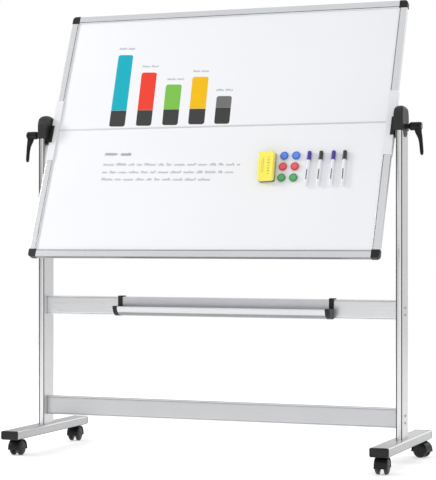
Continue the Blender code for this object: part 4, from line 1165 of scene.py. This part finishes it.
MAG = {"blue": lin(66, 122, 226), "red": lin(226, 66, 78), "green": lin(66, 158, 92)}
for i, nm in enumerate(("blue", "red", "green")):
    # one magnet colour as two copies: rim darkened (painted shade), crowned centre lightened (painted highlight)
    m = glossy("magnet_" + nm, shade(MAG[nm], 0.74), 0.30, 0.30)
    lit_centre_mat = glossy("magnet_painted_highlight_centre_" + nm, tuple(min(v * 1.12 + 0.035, 1.0) for v in MAG[nm]), 0.34, 0.25)
    me = magnet_mesh("magnet_" + nm)
    me.materials.append(m)
    me.materials.append(lit_centre_mat)
    # centre faces take the lighter copy: painted highlight
    for p in me.polygons:
        if math.hypot(p.center.x, p.center.y) < 0.70 * MAGNET_R and p.center.z > 0.004:
            p.material_index = 1
    for j, x in enumerate(MAGNET_X):
        piece(f"button_magnet_{nm}_{j + 1}", me, m, "board", BOARD @ move(x, FRONT - GAP, MAGNET_Z[i]) @ out_n, f"magnet_{nm}_{j + 1}")


# ------------------------------------------------------------------ markers
M_BARREL = glossy("marker_white", lin(238, 238, 242), 0.30, 0.25, 0.02)
M_CAP_BLUE = glossy("marker_cap_blue", lin(62, 50, 152), 0.28, 0.30, 0.10)
M_CAP_BLACK = glossy("marker_cap_black", lin(46, 46, 44), 0.30, 0.25, 0.12)
M_BAND_BLUE = ink("marker_band_blue", lin(70, 88, 130), 0.06)
M_BAND_GREY = ink("marker_band_grey", lin(62, 62, 66), 0.06)
R, C, L, LC = MARKER_R, MARKER_CAP_R, MARKER_LEN, MARKER_CAP_L
barrel_prof = [(0.0, -LC + 0.0040), (R - 0.0006, -LC + 0.0040, 0.0002), (R, -LC + 0.0030, 0.0004), (R, -LC - 0.0030, 0.0), (R, -L + 0.0082, 0.0002), (R - 0.0004, -L + 0.0078, 0.0002),
               (R - 0.0004, -L + 0.0070, 0.0002), (R, -L + 0.0066, 0.0002), (R, -L + 0.0022, 0.0010), (R - 0.0014, -L, 0.0008), (0.0, -L)]
barrel = lathe_mesh("marker_barrel", open_rounded(barrel_prof, 6), 48)
cap_prof = [(0.0, 0.0), (C - 0.0020, 0.0, 0.0012), (C - 0.0006, -0.0012, 0.0016), (C - 0.0004, -0.0060, 0.002), (C - 0.0003, -LC + 0.0040, 0.0010), (C, -LC + 0.0030, 0.0004),
            (C, -LC + 0.0003, 0.0003), (C - 0.0004, -LC, 0.0002), (R + 0.0001, -LC, 0.0), (R + 0.0001, -LC + 0.0060, 0.0), (0.0, -LC + 0.0060)]
cap = lathe_mesh("marker_cap", open_rounded(cap_prof, 6), 48)


def print_mesh(name):
    """Printed strip on the barrel: a shallow curved patch with a wavy edge."""
    bm = bmesh.new()
    rows = []
    n = 28
    for k in range(n + 1):
        z = -0.0640 - 0.0350 * k / n
        half = math.radians(17 + 8 * math.sin(k * 2.1) + 4 * math.sin(k * 4.7))
        row = []
        for r in (R + 0.00009, R - 0.0004):
            for j in range(7):
                t = math.radians(-90) + half * (j / 3 - 1) * (1 if r > R else -1)
                row.append(bm.verts.new((r * math.cos(t), r * math.sin(t), z)))
        rows.append(row)
    for a, b in zip(rows, rows[1:]):
        for i in range(14):
            j = (i + 1) % 14
            bm.faces.new((a[i], a[j], b[j], b[i]))
    bm.faces.new(rows[0][::-1])
    bm.faces.new(rows[-1])
    return finish_mesh(bm, name)


band = print_mesh("marker_print")
cap_black = cap.copy()
band_grey = band.copy()
for i, x in enumerate(MARKER_X):
    m = BOARD @ move(x, FRONT - GAP - C, MARKER_TOP) @ turn("Y", -0.6 * i)
    blue = i % 2 == 0
    piece(f"marker_{i + 1}_barrel", barrel, M_BARREL, "board", m, f"marker_{i + 1}")
    piece(f"marker_{i + 1}_cap", cap if blue else cap_black, M_CAP_BLUE if blue else M_CAP_BLACK, "board", m)
    piece(f"marker_{i + 1}_band", band if blue else band_grey, M_BAND_BLUE if blue else M_BAND_GREY, "board", m)


# ------------------------------------------------------------------ floor
bm = bmesh.new()
bmesh.ops.create_grid(bm, x_segments=8, y_segments=8, size=5.0)
fl = bpy.data.meshes.new("studio_floor")
bm.to_mesh(fl)
bm.free()
g = Graph("studio_floor", 0.75, Emission_Color=(1.0, 1.0, 1.0, 1.0), Emission_Strength=0.42)
g.b.inputs["Specular IOR Level"].default_value = 0.2
tone = g.noise(1.5, 2.0, 0.5)
g.colour(g.mix(g.ranged(tone, 0.0, 1.0), (0.795, 0.795, 0.795), (0.815, 0.815, 0.815)))
fl.materials.append(g.m)
floor = bpy.data.objects.new("studio_floor", fl)
scene.collection.objects.link(floor)

bpy.context.view_layer.update()
